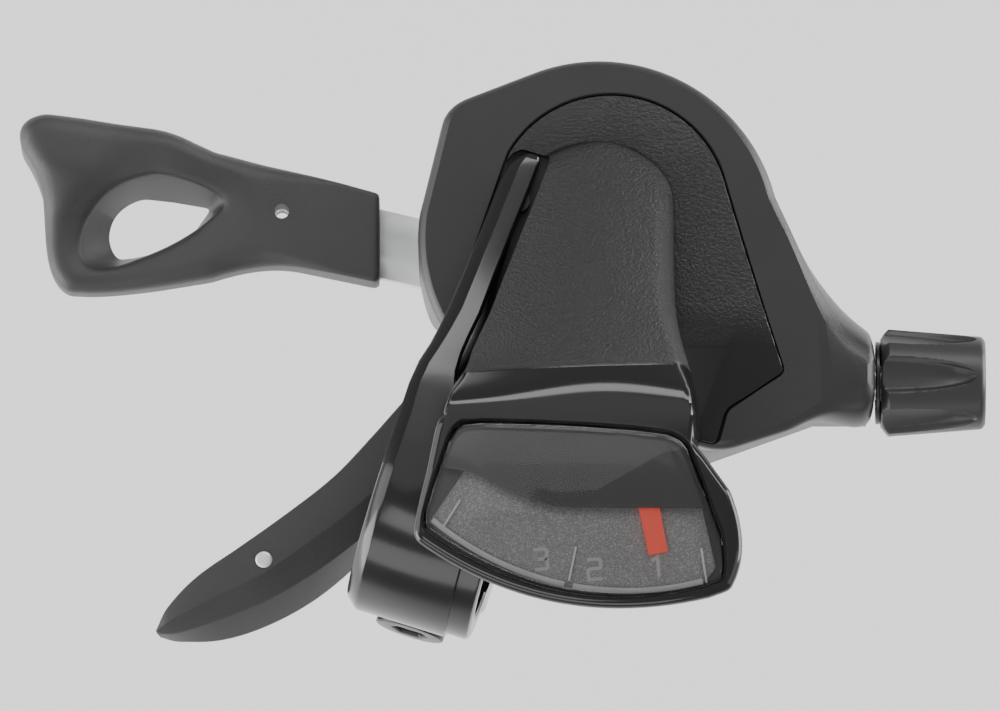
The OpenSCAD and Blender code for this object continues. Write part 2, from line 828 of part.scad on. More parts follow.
// The needle is drawn pointing along -Y from its pivot, then turned to the rest gear
module indicator_needle() {
    arm_top = needle_arm_z + needle_arm_t;
    pin_at = pivot_r + drive_r;
    color("#d8311f")
        unit()
            translate(polar([pivot_r, 90 + dial_tilt]))
                rotate([0, 0, dial_tilt + needle_rest])
                    difference() {
                        union() {
                            finger([0, 0], 2.4, [0, -pin_at], 2.6, needle_arm_z, arm_top);
                            translate([-1.2, -ramp_start - 1, needle_arm_z])
                                cube([2.4, 4, needle_arm_t]);
                            hull() {
                                translate([-1.2, -ramp_start - 1, needle_arm_z])
                                    cube([2.4, 1, needle_arm_t]);
                                translate([-1.2, -ramp_end, needle_z])
                                    cube([2.4, 1, needle_t]);
                            }
                            translate([-1.2, -needle_tip, needle_z])
                                cube([2.4, needle_tip - ramp_end + 1, needle_t]);
                        }
                        post([0, 0], pivot_pin_r + running_gap, needle_arm_z - over, arm_top + over);
                        translate([-drive_pin_r - 0.1, -pin_at - 0.3, needle_arm_z - over])
                            cube([2 * drive_pin_r + 0.2, 1, needle_arm_t + 2 * over]);
                        for (y = [-pin_at - 0.1, -pin_at + 0.5])
                            post([0, y], drive_pin_r + 0.1, needle_arm_z - over, arm_top + over);
                    }
}

module adjuster_collar() {
    color("#5c5f63")
        unit()
            difference() {
                cable_rod(5, nose_x + 0.2, knob_x - 0.1);
                cable_rod(stem_r + 2 * running_gap, nose_x - over, knob_x + over);
            }
}

module adjuster_spring() {
    color("#a4a7ab")
        unit()
            translate([spring_seat_x + 0.1, adjuster_y, cable_z])
                rotate([0, 90, 0])
                    coil(3.5, 0.35, 4, nose_x - spring_seat_x);
}

module barrel_adjuster() {
    color("#1c1d1f")
        unit()
            difference() {
                translate([knob_x, adjuster_y, cable_z])
                    rotate([0, 90, 0])
                        rotate_extrude($fn = 96)
                            polygon([[stem_r, 0], [knob_r - 1.2, 0], [knob_r, 1], [knob_r, 2],
                                [knob_r - knob_taper, knob_l - 0.6], [knob_r - knob_taper - 0.6, knob_l],
                                [socket_r, knob_l], [socket_r, knob_l - socket_depth], [stem_r, knob_l - socket_depth]]);
                for (k = [0:flutes - 1])
                    translate([knob_x + 3, adjuster_y, cable_z])
                        rotate([k * 360 / flutes, 0, 0])
                            translate([0, 0, knob_r + 2.4])
                                rotate([0, 88, 0])
                                    cylinder(r = 3.2, h = knob_l);
            }
}

module adjuster_screw() {
    color("#9a9da1")
        unit()
            difference() {
                cable_rod(stem_r, insert_x + 0.3, knob_x + knob_l - socket_depth);
                cable_rod(0.9, insert_x - 2, knob_x + knob_l);
            }
}

clamp_bracket();
clamp_bolt();
clamp_nut();
bracket_screws();
housing();
centre_cover();
window_lens();
window_mask();
dial_plate();
base_plate();
base_screws();
main_axle();
axle_washer();
axle_nut();
spacer_bush();
lever_bushes();
lower_cover();
cover_screws();
holding_pawl_pin();
indicator_pivot();
adjuster_insert();
thumb_lever_spring();
release_lever_spring();
spool_spring();
cable_spool();
ratchet_plate();
indicator_drive_pin();
thumb_lever_plate();
thumb_pad();
thumb_pad_rivet();
feed_pawl_pin();
feed_pawl();
feed_pawl_spring();
release_lever_plate();
release_paddle();
release_tab();
holding_pawl();
holding_pawl_spring();
indicator_needle();
adjuster_collar();
adjuster_spring();
barrel_adjuster();
adjuster_screw();
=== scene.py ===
"""Studio model of a handlebar thumb shifter, built round its packed mechanical frame.

Lengths in the sketches are millimetres. A sketch lies either in the mechanism's frame, whose origin
is the main axle and whose +X is the way the cable leaves, or in the bar's frame, which is the row's.
"""
import json
import math

import bmesh
import bpy
from bpy.props import FloatProperty, FloatVectorProperty, IntProperty, PointerProperty
from mathutils import Matrix, Vector


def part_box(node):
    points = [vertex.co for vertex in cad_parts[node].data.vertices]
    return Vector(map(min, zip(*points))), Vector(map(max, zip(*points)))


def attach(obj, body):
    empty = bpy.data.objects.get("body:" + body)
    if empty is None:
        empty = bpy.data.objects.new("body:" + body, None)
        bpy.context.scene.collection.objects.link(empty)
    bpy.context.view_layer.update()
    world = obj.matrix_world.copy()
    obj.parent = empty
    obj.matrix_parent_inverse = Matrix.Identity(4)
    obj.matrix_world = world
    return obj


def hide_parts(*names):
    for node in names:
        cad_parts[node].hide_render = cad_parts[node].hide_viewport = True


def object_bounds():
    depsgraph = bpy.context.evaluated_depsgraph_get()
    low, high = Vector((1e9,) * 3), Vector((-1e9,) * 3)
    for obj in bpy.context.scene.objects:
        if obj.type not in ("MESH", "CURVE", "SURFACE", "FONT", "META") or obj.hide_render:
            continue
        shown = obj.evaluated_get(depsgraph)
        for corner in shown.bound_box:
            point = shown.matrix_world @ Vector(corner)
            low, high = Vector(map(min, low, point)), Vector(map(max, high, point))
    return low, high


bl_info = {
    "name": "Thumb Shifter Studio",
    "version": (1, 0, 0),
    "blender": (4, 5, 0),
    "location": "3D View > Sidebar > Shifter",
    "description": "Builds the surfaces, finishes and stage of a handlebar thumb shifter",
    "category": "Object",
}

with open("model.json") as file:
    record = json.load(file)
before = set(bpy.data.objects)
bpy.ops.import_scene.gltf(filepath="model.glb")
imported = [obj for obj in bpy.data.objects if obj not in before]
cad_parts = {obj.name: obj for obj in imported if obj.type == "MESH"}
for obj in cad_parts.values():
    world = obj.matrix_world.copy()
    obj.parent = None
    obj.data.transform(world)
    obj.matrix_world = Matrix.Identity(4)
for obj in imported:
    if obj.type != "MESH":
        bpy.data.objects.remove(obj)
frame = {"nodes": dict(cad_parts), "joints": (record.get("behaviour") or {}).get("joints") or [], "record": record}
CAD_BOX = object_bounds()

JOINTS = {joint["name"]: joint for joint in frame["joints"]}
AXLE = JOINTS["thumb_lever"]["pos_m"]
CABLE_WAY = JOINTS["adjuster_turn"]["axis"]
CABLE_START = JOINTS["adjuster_turn"]["pos_m"]
MM = 0.001
YAW = math.atan2(CABLE_WAY[1], CABLE_WAY[0])
BAR = Matrix.Scale(MM, 4)
MECHANISM = Matrix.Translation((AXLE[0], AXLE[1], 0)) @ Matrix.Rotation(YAW, 4, "Z") @ BAR
TO_MECHANISM = MECHANISM.inverted()
CABLE_Y = (TO_MECHANISM @ Vector(CABLE_START)).y
CABLE_Z = CABLE_START[2] / MM


def top_of(node):
    """Height of a CAD node's top, in millimetres."""
    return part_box(node)[1][2] / MM


def bottom_of(node):
    """Height of a CAD node's underside, in millimetres."""
    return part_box(node)[0][2] / MM


RIM_Z = top_of("housing")
HOUSING_LOW = bottom_of("housing")
POD_TOP = top_of("centre_cover")
DIAL_Z = bottom_of("dial_plate")
DIAL_TOP = top_of("dial_plate")
MASK_TOP = top_of("window_mask")
MASK_LOW = bottom_of("window_mask")
NEEDLE_TOP = top_of("indicator_needle")
BAND_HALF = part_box("clamp_bracket")[1][0] / MM


# ---------------------------------------------------------------- sketches

def arc(centre, radius, start, end, count):
    """Points on a circular arc, angles in degrees."""
    steps = [math.radians(start + (end - start) * i / count) for i in range(count + 1)]
    return [(centre[0] + radius * math.cos(a), centre[1] + radius * math.sin(a)) for a in steps]


def circle(centre, radius):
    """The outline of a round hole or shank."""
    return arc(centre, radius, 0, 352.5, 47)


def bend(a, b, c, count):
    """A smooth curve from a to c that leans towards b."""
    points = []
    for i in range(count + 1):
        t = i / count
        points.append(tuple((1 - t) ** 2 * p + 2 * t * (1 - t) * q + t * t * r
                            for p, q, r in zip(a, b, c)))
    return points


def spline(stops, x):
    """A smooth value at x through (x, value) stops, by monotone cubic pieces."""
    if x <= stops[0][0]:
        return stops[0][1]
    if x >= stops[-1][0]:
        return stops[-1][1]
    slopes = []
    for i in range(len(stops)):
        before = stops[max(i - 1, 0)]
        after = stops[min(i + 1, len(stops) - 1)]
        slopes.append((after[1] - before[1]) / (after[0] - before[0]))
    for i in range(len(stops) - 1):
        (x0, v0), (x1, v1) = stops[i], stops[i + 1]
        if x <= x1:
            width = x1 - x0
            t = (x - x0) / width
            rise = v0 * (1 + 2 * t) * (1 - t) ** 2 + v1 * t * t * (3 - 2 * t)
            return rise + width * (slopes[i] * t * (1 - t) ** 2 - slopes[i + 1] * t * t * (1 - t))


def curve_through(stops, t):
    """A point at t through (t, x, y, ...) stops."""
    return tuple(spline([(stop[0], stop[k]) for stop in stops], t) for k in range(1, len(stops[0])))


def smooth_step(t):
    """An eased rise from 0 to 1 as t goes from 0 to 1."""
    t = min(max(t, 0.0), 1.0)
    return t * t * (3 - 2 * t)


def soften(outline, radius, sharpest=20):
    """Rounds the corners of a closed outline."""
    rounded = []
    count = len(outline)
    for i, corner in enumerate(outline):
        here = Vector(corner)
        back = Vector(outline[i - 1]) - here
        ahead = Vector(outline[(i + 1) % count]) - here
        if math.degrees(math.pi - back.angle(ahead, math.pi)) < sharpest:
            rounded.append(tuple(here))
            continue
        start = here + back.normalized() * min(radius, back.length * 0.45)
        end = here + ahead.normalized() * min(radius, ahead.length * 0.45)
        rounded += bend(tuple(start), tuple(here), tuple(end), 6)
    return rounded


def resample(outline, count):
    """Even steps round a closed outline."""
    points = [Vector(p) for p in outline] + [Vector(outline[0])]
    lengths = [0.0]
    for a, b in zip(points, points[1:]):
        lengths.append(lengths[-1] + (b - a).length)
    even, k = [], 0
    for i in range(count):
        target = lengths[-1] * i / count
        while lengths[k + 1] < target:
            k += 1
        t = (target - lengths[k]) / max(lengths[k + 1] - lengths[k], 1e-9)
        even.append(tuple(points[k].lerp(points[k + 1], t)))
    return even


def inset(outline, depth):
    """Moves a closed counter-clockwise outline inwards."""
    moved = []
    count = len(outline)
    for i, point in enumerate(outline):
        before = Vector(outline[i - 1])
        after = Vector(outline[(i + 1) % count])
        along = (after - before).normalized()
        moved.append((point[0] - along.y * depth, point[1] + along.x * depth))
    return moved


def edge_distance(point, outline):
    """Distance from a point to a closed outline."""
    best = 1e9
    p = Vector(point)
    for a, b in zip(outline, outline[1:] + outline[:1]):
        a, b = Vector(a), Vector(b)
        side = b - a
        t = min(max((p - a).dot(side) / max(side.length_squared, 1e-12), 0.0), 1.0)
        best = min(best, (p - a - side * t).length)
    return best


def at_height(outline, z):
    """A flat outline as points at one height."""
    return [(p[0], p[1], z) for p in outline]


def terraces(outline, levels):
    """Rings of an outline, one at each (height, inset) level."""
    return [at_height(inset(outline, depth), z) for z, depth in levels]


# ---------------------------------------------------------------- meshes

def new_object(name, data):
    """An object in the scene."""
    item = bpy.data.objects.new(name, data)
    bpy.context.scene.collection.objects.link(item)
    return item


def heal(mesh, merge):
    """Merges points that are this close, in metres, and turns every face outwards."""
    shell = bmesh.new()
    shell.from_mesh(mesh)
    bmesh.ops.remove_doubles(shell, verts=shell.verts, dist=merge)
    bmesh.ops.dissolve_degenerate(shell, edges=shell.edges, dist=merge)
    loose = [v for v in shell.verts if not v.link_faces]
    bmesh.ops.delete(shell, geom=loose, context="VERTS")
    bmesh.ops.recalc_face_normals(shell, faces=shell.faces)
    shell.to_mesh(mesh)
    shell.free()


def shade(item, sharp):
    """Shades smooth, but for edges sharper than this many degrees."""
    item.data.shade_smooth()
    item.data.set_sharp_from_angle(angle=math.radians(sharp))


def piece_from(name, points, faces, place=MECHANISM, sharp=32):
    """A mesh object whose place is in its mesh."""
    mesh = bpy.data.meshes.new(name)
    mesh.from_pydata([place @ Vector(p) for p in points], [], faces)
    heal(mesh, 1e-7)
    item = new_object(name, mesh)
    shade(item, sharp)
    return item


def loop_faces(rows, count, joined):
    """Quads between rows of points that are closed loops; joined ties the last row to the first."""
    faces = []
    for k in range(rows if joined else rows - 1):
        n = (k + 1) % rows
        for i in range(count):
            j = (i + 1) % count
            faces.append((k * count + i, k * count + j, n * count + j, n * count + i))
    return faces


def stack(name, rings, place=MECHANISM, sharp=32):
    """A solid skinned over rings of equal count, from the lowest to the highest."""
    count = len(rings[0])
    points = [p for ring in rings for p in ring]
    faces = loop_faces(len(rings), count, False)
    faces.append(tuple(reversed(range(count))))
    faces.append(tuple((len(rings) - 1) * count + i for i in range(count)))
    return piece_from(name, points, faces, place, sharp)


def prism(name, outline, low, high, place=MECHANISM):
    """A straight-walled solid between two heights."""
    return stack(name, [at_height(outline, low), at_height(outline, high)], place)


def slab(name, outline, low, high, edge=0.2, place=MECHANISM, sharp=32, steps=3):
    """An outline with thickness and rounded rims."""
    turns = [math.pi / 2 * i / steps for i in range(steps + 1)]
    levels = [(low + edge * (1 - math.cos(a)), edge * (1 - math.sin(a))) for a in turns]
    levels += [(high - edge * (1 - math.sin(a)), edge * (1 - math.cos(a))) for a in turns]
    return stack(name, terraces(outline, levels), place, sharp)


def cable_frame(along, radius, angle):
    """A point at a place along the cable's line and round it."""
    return (along, CABLE_Y + radius * math.cos(angle), CABLE_Z + radius * math.sin(angle))


def bar_frame(along, radius, angle):
    """A point at a place along the handlebar and round it."""
    return (along, radius * math.cos(angle), radius * math.sin(angle))


def lathe(name, profile, segments, frame_of, place=MECHANISM, sharp=32):
    """Turns a closed (along, radius) profile about the axis that frame_of knows."""
    points = []
    for s in range(segments):
        angle = 2 * math.pi * s / segments
        points += [frame_of(along, radius, angle) for along, radius in profile]
    return piece_from(name, points, loop_faces(segments, len(profile), True), place, sharp)


def rod(name, radius, start, end, segments=64, frame_of=cable_frame, place=MECHANISM):
    """A plain round bar."""
    profile = [(start, 0.0), (start, radius), (end, radius), (end, 0.0)]
    return lathe(name, profile, segments, frame_of, place)


def bake_modifiers(item):
    """Turns a modified object into a plain mesh."""
    bpy.context.view_layer.update()
    ready = item.evaluated_get(bpy.context.evaluated_depsgraph_get())
    mesh = bpy.data.meshes.new_from_object(ready)
    item.modifiers.clear()
    item.data = mesh
    return item


def join_solid(item, other, operation):
    """Adds, cuts or intersects another solid, which is used up."""
    modifier = item.modifiers.new(operation.title(), "BOOLEAN")
    modifier.object = other
    modifier.operation = operation
    modifier.solver = "MANIFOLD"
    bake_modifiers(item)
    bpy.data.objects.remove(other)
    return item


def cut(item, tool):
    """Cuts a solid's shape out of a piece."""
    return join_solid(item, tool, "DIFFERENCE")


def tidy_solid(item, sharp=32):
    """Merges slivers left by cutting, and shades again."""
    heal(item.data, 0.004 * MM)
    shade(item, sharp)
    return item


FLAT_ANGLE = 0.6  # degrees under which neighbouring CAD triangles are one face
CORNER_ANGLE = 35  # degrees over which a CAD edge is rounded


def worked_copy(node, edge):
    """A merged copy of a CAD node with its edges rounded."""
    mesh = frame["nodes"][node].data.copy()
    mesh.name = node + "_finished"
    mesh.materials.clear()
    shell = bmesh.new()
    shell.from_mesh(mesh)
    bmesh.ops.remove_doubles(shell, verts=shell.verts, dist=1e-6)
    bmesh.ops.dissolve_limit(shell, angle_limit=math.radians(FLAT_ANGLE), verts=shell.verts,
                             edges=shell.edges)
    shell.to_mesh(mesh)
    shell.free()
    item = new_object(node + "_finished", mesh)
    modifier = item.modifiers.new("Rounded edges", "BEVEL")
    modifier.width = edge * MM
    modifier.segments = 3
    modifier.limit_method = "ANGLE"
    modifier.angle_limit = math.radians(CORNER_ANGLE)
    modifier.use_clamp_overlap = True
    modifier.harden_normals = False
    bake_modifiers(item)
    shade(item, 32)
    return item


def settle(item, body, slot, finish, *nodes):
    """Gives a piece its finish, body, slot and the CAD nodes that it stands for."""
    item.data.materials.clear()
    item.data.materials.append(finish)
    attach(item, body)
    if nodes:
        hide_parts(*nodes)
    return item


# ---------------------------------------------------------------- finishes

class Socket:
    """A shader socket that Python's operators work on."""

    def __init__(self, maker, socket):
        self.maker = maker
        self.socket = socket

    def join(self, operation, first, second):
        """The Socket of a sum, product and so on."""
        return self.maker.node("ShaderNodeMath", {"operation": operation}, {0: first, 1: second}).out(0)

    def __add__(self, other):
        return self.join("ADD", self, other)

    def __radd__(self, other):
        return self.join("ADD", other, self)

    def __sub__(self, other):
        return self.join("SUBTRACT", self, other)

    def __rsub__(self, other):
        return self.join("SUBTRACT", other, self)

    def __mul__(self, other):
        return self.join("MULTIPLY", self, other)

    def __rmul__(self, other):
        return self.join("MULTIPLY", other, self)

    def __truediv__(self, other):
        return self.join("DIVIDE", self, other)

    def clamped(self):
        """The value held between 0 and 1."""
        return self.maker.node("ShaderNodeClamp", {}, {0: self}).out(0)


class Made:
    """A node that was made, with its outputs as Sockets."""

    def __init__(self, maker, node):
        self.maker = maker
        self.node = node

    def out(self, key):
        """The output of that name or number."""
        return Socket(self.maker, self.node.outputs[key])


class NodeMaker:
    """Makes nodes in a tree, each with its settings and what feeds it."""

    def __init__(self, tree):
        self.tree = tree

    def node(self, kind, settings, inputs):
        """Makes a node: its settings first, then values or links for its sockets."""
        made = self.tree.nodes.new(kind)
        for key, value in settings.items():
            if key == "stops":
                self.set_stops(made, value)
            else:
                setattr(made, key, value)
        for key, value in inputs.items():
            self.feed(made.inputs[key], value)
        return Made(self, made)

    def set_stops(self, ramp, stops):
        """Gives a colour ramp its (place, grey level) stops."""
        elements = ramp.color_ramp.elements
        while len(elements) < len(stops):
            elements.new(0.5)
        for element, (place, level) in zip(elements, stops):
            element.position = place
            element.color = (level, level, level, 1)

    def feed(self, socket, value):
        """Links a Socket, or sets a value."""
        if isinstance(value, Socket):
            self.tree.links.new(value.socket, socket)
        else:
            socket.default_value = value


class Finish(NodeMaker):
    """One procedural material."""

    def __init__(self, name):
        self.material = bpy.data.materials.new(name)
        self.material.use_nodes = True
        super().__init__(self.material.node_tree)
        self.shader = self.tree.nodes["Principled BSDF"]

    def shade_with(self, **inputs):
        """Feeds the shader's inputs, named with underscores for spaces."""
        for key, value in inputs.items():
            self.feed(self.shader.inputs[key.replace("_", " ")], value)

    def place(self):
        """Object coordinates, in metres."""
        return self.node("ShaderNodeTexCoord", {}, {}).out("Object")

    def mechanism_place(self):
        """Coordinates in the mechanism's frame, in millimetres."""
        return self.node("ShaderNodeMapping", {"vector_type": "POINT"}, {
            "Vector": self.place(), "Location": TO_MECHANISM.translation,
            "Rotation": TO_MECHANISM.to_euler(), "Scale": TO_MECHANISM.to_scale()}).out(0)

    def noise(self, per_mm, detail=3.0, roughness=0.55):
        """Noise with this many grains to a millimetre."""
        return self.node("ShaderNodeTexNoise", {}, {
            "Vector": self.place(), "Scale": per_mm / MM, "Detail": detail,
            "Roughness": roughness}).out("Fac")

    def ramp(self, value, *stops):
        """Greys between (place, level) stops."""
        return self.node("ShaderNodeValToRGB", {"stops": stops}, {"Fac": value}).out("Color")

    def blend(self, factor, first, second):
        """Mixes two colours."""
        return self.node("ShaderNodeMix", {"data_type": "RGBA"}, {0: factor, 6: first, 7: second}).out(2)

    def mix(self, factor, first, second):
        """Mixes two numbers."""
        return self.node("ShaderNodeMix", {"data_type": "FLOAT"},
                         {0: factor, 2: first, 3: second}).out(0)

    def bump(self, height, depth_mm, strength=1.0):
        """A normal from heights, for a surface that is this deep in millimetres."""
        return self.node("ShaderNodeBump", {}, {
            "Height": height, "Distance": depth_mm * MM, "Strength": strength}).out(0)


def rgba(colour, level=1.0):
    """A colour for a socket, made darker or lighter."""
    return (colour[0] * level, colour[1] * level, colour[2] * level, 1.0)


def moulded_finish(name, colour, grain, depth, rough, coat=0.0, per_mm=7.0):
    """Moulded plastic with an even fine grain."""
    finish = Finish(name)
    grains = finish.noise(per_mm, 2.0, 0.6)
    cloud = finish.noise(0.12, 2.0)
    finish.shade_with(
        Base_Color=finish.blend(cloud, rgba(colour, 0.86), rgba(colour, 1.14)),
        Roughness=rough - 0.04 + 0.08 * cloud,
        Normal=finish.bump(grains, depth, grain))
    if coat:
        finish.shade_with(Coat_Weight=coat, Coat_Roughness=0.06)
    return finish.material


def cover_finish(colour):
    """Fine matte grain on the dome that turns to a polish towards the display."""
    finish = Finish("cover gloss and grain")
    spot = finish.mechanism_place()
    parts = finish.node("ShaderNodeSeparateXYZ", {}, {0: spot})
    x, y, z = parts.out(0), parts.out(1), parts.out(2)
    edge = y + 14.0 - 0.03 * x
    forward = (edge / 0.9 + 0.5).clamped()
    raised = ((z - 2.7) / 0.5).clamped()
    beside = ((10.9 - x) / 0.6).clamped()
    matte = forward * raised * beside
    plate = (1 - raised) * ((y + 9.5) / 5.0).clamped()
    grains = finish.noise(2.6, 3.0, 0.7)
    cloud = finish.noise(0.1, 2.0)
    finish.shade_with(
        Base_Color=finish.blend(matte, rgba(colour, 0.5), rgba(colour, 1.0)),
        Roughness=finish.mix(matte, 0.1 + 0.14 * plate + 0.03 * cloud, 0.4 + 0.06 * cloud),
        Normal=finish.bump(grains * (matte + 0.3 * plate), 0.45, 1.0),
        Coat_Weight=0.0)
    return finish.material


def steel_finish(name, colour, rough, metal):
    """Plated or drawn steel with fine lines one way."""
    finish = Finish(name)
    spot = finish.mechanism_place()
    drawn = finish.node("ShaderNodeMapping", {}, {"Vector": spot, "Scale": (1.0, 14.0, 14.0)}).out(0)
    lines = finish.node("ShaderNodeTexNoise", {},
                        {"Vector": drawn, "Scale": 1.6, "Detail": 4.0}).out("Fac")
    cloud = finish.noise(0.3, 3.0)
    finish.shade_with(
        Base_Color=finish.blend(cloud, rgba(colour, 0.86), rgba(colour, 1.06)),
        Metallic=metal,
        Roughness=rough + 0.12 * (lines - 0.5) + 0.08 * (cloud - 0.5),
        Normal=finish.bump(lines, 0.01, 0.35))
    return finish.material


def dial_finish(colour):
    """Mid-grey paint with a fine metallic sparkle."""
    finish = Finish("dial sparkle")
    flakes = finish.node("ShaderNodeTexVoronoi", {},
                         {"Vector": finish.place(), "Scale": 9.0 / MM}).out("Color")
    level = finish.node("ShaderNodeSeparateColor", {}, {0: flakes}).out(0)
    bright = finish.ramp(level, (0.55, 0.0), (1.0, 1.0))
    finish.shade_with(
        Base_Color=finish.blend(bright, rgba(colour, 0.85), rgba(colour, 1.6)),
        Metallic=0.35, Roughness=0.55 - 0.2 * level,
        Normal=finish.bump(level, 0.02, 0.5))
    return finish.material


def lens_finish():
    """Clear polished plastic."""
    finish = Finish("clear window")
    shine = finish.node("ShaderNodeBsdfGlossy", {}, {"Color": rgba((1, 1, 1)), "Roughness": 0.03}).out(0)
    clear = finish.node("ShaderNodeBsdfTransparent", {}, {"Color": rgba((0.95, 0.95, 0.95))}).out(0)
    edge = finish.node("ShaderNodeFresnel", {}, {"IOR": 1.49}).out(0)
    smear = finish.noise(0.25, 3.0)
    mixed = finish.node("ShaderNodeMixShader", {},
                        {0: edge * (0.9 + 0.2 * smear), 1: clear, 2: shine}).out(0)
    output = finish.tree.nodes["Material Output"]
    finish.tree.nodes.remove(finish.shader)
    finish.feed(output.inputs["Surface"], mixed)
    return finish.material


def paint_finish(name, colour, rough, coat=0.0, glow=0.0):
    """Even paint, a little uneven in gloss, with a glow where it is fluorescent."""
    finish = Finish(name)
    cloud = finish.noise(0.8, 3.0)
    finish.shade_with(
        Base_Color=finish.blend(cloud, rgba(colour, 0.93), rgba(colour, 1.07)),
        Roughness=rough + 0.06 * (cloud - 0.5),
        Normal=finish.bump(finish.noise(5.0, 2.0), 0.01, 0.3))
    if coat:
        finish.shade_with(Coat_Weight=coat, Coat_Roughness=0.05)
    # painted light: an emission glow, though the part is no lamp
    if glow:
        finish.shade_with(Emission_Color=rgba(colour), Emission_Strength=glow)
    return finish.material


def scaled(colour, level):
    """A colour made darker or lighter."""
    return tuple(level * c for c in colour)


FINISHES = {}


def finish_of(name):
    """The material of that name, made once from the panel's colours."""
    if name not in FINISHES:
        looks = bpy.context.scene.shifter_looks
        black = tuple(looks.black)
        plastics = {  # title, level of black, grain, grain's depth in mm, roughness, then what is special
            "knob": ("knob black", 1.4, 0.25, 0.02, 0.38, {"per_mm": 4.0}),
            "satin": ("satin black", 1.3, 0.4, 0.05, 0.38, {"per_mm": 4.0}),
            "clamp": ("clamp black", 0.45, 0.1, 0.02, 0.18, {"coat": 0.08, "per_mm": 3.0}),
            "grain": ("textured black", 1.8, 0.75, 0.08, 0.44, {}),
            "acetal": ("spool acetal", 1.8, 0.2, 0.02, 0.4, {}),
        }
        metals = {  # title, colour, roughness, metallic share
            "zinc": ("bright zinc", (0.86, 0.87, 0.88), 0.34, 0.45),
            "screw": ("screw steel", (0.55, 0.56, 0.58), 0.3, 1.0),
            # dark steel; on the bracket screws it is painted shade in the slot round the arm
            "blackened": ("blackened steel", (0.05, 0.05, 0.055), 0.32, 1.0),
            "hard": ("hard steel", (0.4, 0.41, 0.42), 0.36, 1.0),
            "wire": ("spring wire", (0.6, 0.61, 0.63), 0.25, 1.0),
            "brass": ("turned brass", (0.72, 0.53, 0.26), 0.28, 1.0),
        }
        paints = {  # title, colour, roughness, gloss coat, glow (painted light, as these parts are no lamps)
            "panel": ("window panel black", scaled(black, 0.35), 0.25, 0.6, 0.0),
            "mark": ("mark grey", tuple(looks.mark), 0.4, 0.0, 0.0),
            "strip": ("strip grey", scaled(looks.mark, 1.5), 0.3, 0.5, 0.0),
            # the needle's glow is painted light that brightens its red
            "needle": ("needle red", tuple(looks.needle), 0.35, 0.3, 0.3),
        }
        if name in plastics:
            title, level, grain, depth, rough, special = plastics[name]
            made = moulded_finish(title, scaled(black, level), grain, depth, rough, **special)
        elif name in metals:
            made = steel_finish(*metals[name])
        elif name in paints:
            made = paint_finish(*paints[name])
        elif name == "cover":
            made = cover_finish(black)
        elif name == "dial":
            made = dial_finish(tuple(looks.dial))
        else:
            made = lens_finish()
        FINISHES[name] = made
    return FINISHES[name]


# ---------------------------------------------------------------- outlines

ROUND_CENTRE = (-0.6, 4.1)
HOUSING_R = 21.8
NOSE_X = 32.5
ARCH_CENTRE = (0.8, 7.4)
ARCH_R = 14.1


def housing_outline():
    """The housing from above, with its nose to the right."""
    right = arc(ROUND_CENTRE, HOUSING_R, 14, 14, 1)[0]
    outline = [(13.8, -22.0), (25.6, -18.2), (31.2, -19.0), (NOSE_X, -17.2), (NOSE_X, -9.0)]
    outline += bend((32.0, -7.0), (24.6, -0.2), right, 16)
    outline += arc(ROUND_CENTRE, HOUSING_R, 18, 112, 40)
    outline += bend((-16.0, 21.5), (-18.9, 20.5), (-19.5, 18.2), 6)
    outline += arc(ROUND_CENTRE, HOUSING_R, 172, 208, 16)
    outline.append((-15.5, -12.6))
    return resample(soften(outline, 2.4), 360)


def seam_outline():
    """The seam between the housing and its centre cover."""
    right = arc(ARCH_CENTRE, ARCH_R, 15, 15, 1)[0]
    outline = bend((21.6, -12.3), (17.6, 0.0), right, 16)
    outline += arc(ARCH_CENTRE, ARCH_R, 20, 150, 40)
    outline += [(-18.6, -6.6), (-15.0, -12.2), (13.4, -21.2), (14.6, -16.9)]
    return resample(soften(outline, 0.8), 300)


def pod_outline():
    """The display pod from above."""
    outline = bend((10.6, -24.0), (10.0, -21.6), (7.6, -20.9), 6)
    outline += [(-16.4, -20.0)]
    outline += bend((-18.6, -20.0), (-20.0, -20.6), (-20.4, -22.8), 5)
    outline += bend((-21.4, -27.6), (-22.4, -31.6), (-22.9, -34.4), 5)
    outline += bend((-22.6, -35.8), (-7.0, -47.2), (12.3, -42.7), 24)
    outline += bend((14.8, -41.8), (17.8, -37.0), (14.9, -29.8), 14)
    outline.append((11.9, -25.6))
    return resample(soften(outline, 1.0), 260)


def window_outline():
    """The opening of the window in the pod."""
    outline = bend((10.2, -25.2), (9.4, -22.9), (6.8, -22.6), 6)
    outline += bend((3.6, -22.2), (-6.0, -21.4), (-14.6, -21.3), 10)
    outline += bend((-17.0, -21.5), (-18.4, -22.2), (-19.0, -24.4), 6)
    outline += [(-21.7, -32.6)]
    outline += bend((-21.6, -34.4), (-6.2, -45.9), (11.7, -41.3), 24)
    outline += bend((13.9, -40.5), (14.5, -38.4), (13.9, -35.2), 6)
    return resample(soften(outline, 0.7), 240)


SKIN_BACK = -26.0  # where the cover's skin starts, over the bar
SKIN_TURN = 8.2  # where its sides turn in to the round front
SKIN_END = 15.9
FRONT_X = -1.0  # middle and half width of the round front
FRONT_R = 9.4
SKIN_RIGHT = [(SKIN_BACK, 10.9), (-20.0, 11.4), (-17.0, 11.3), (-13.0, 10.4), (-9.0, 9.3), (-5.0, 8.6),
              (1.0, 8.4), (SKIN_TURN, 8.4)]
SKIN_LEFT = [(SKIN_BACK, -20.2), (-19.0, -19.9), (-15.0, -18.4), (-10.0, -17.2), (-4.0, -15.2),
             (4.0, -12.4), (SKIN_TURN, -10.4)]


def skin_sides(y):
    """Left and right limits of the cover's skin at a distance along the mechanism."""
    if y <= SKIN_TURN:
        return spline(SKIN_LEFT, y), spline(SKIN_RIGHT, y)
    share = math.sqrt(max(1 - ((y - SKIN_TURN) / (SKIN_END - SKIN_TURN)) ** 2, 0.0))
    return FRONT_X - FRONT_R * share, FRONT_X + FRONT_R * share


# ---------------------------------------------------------------- housing and covers

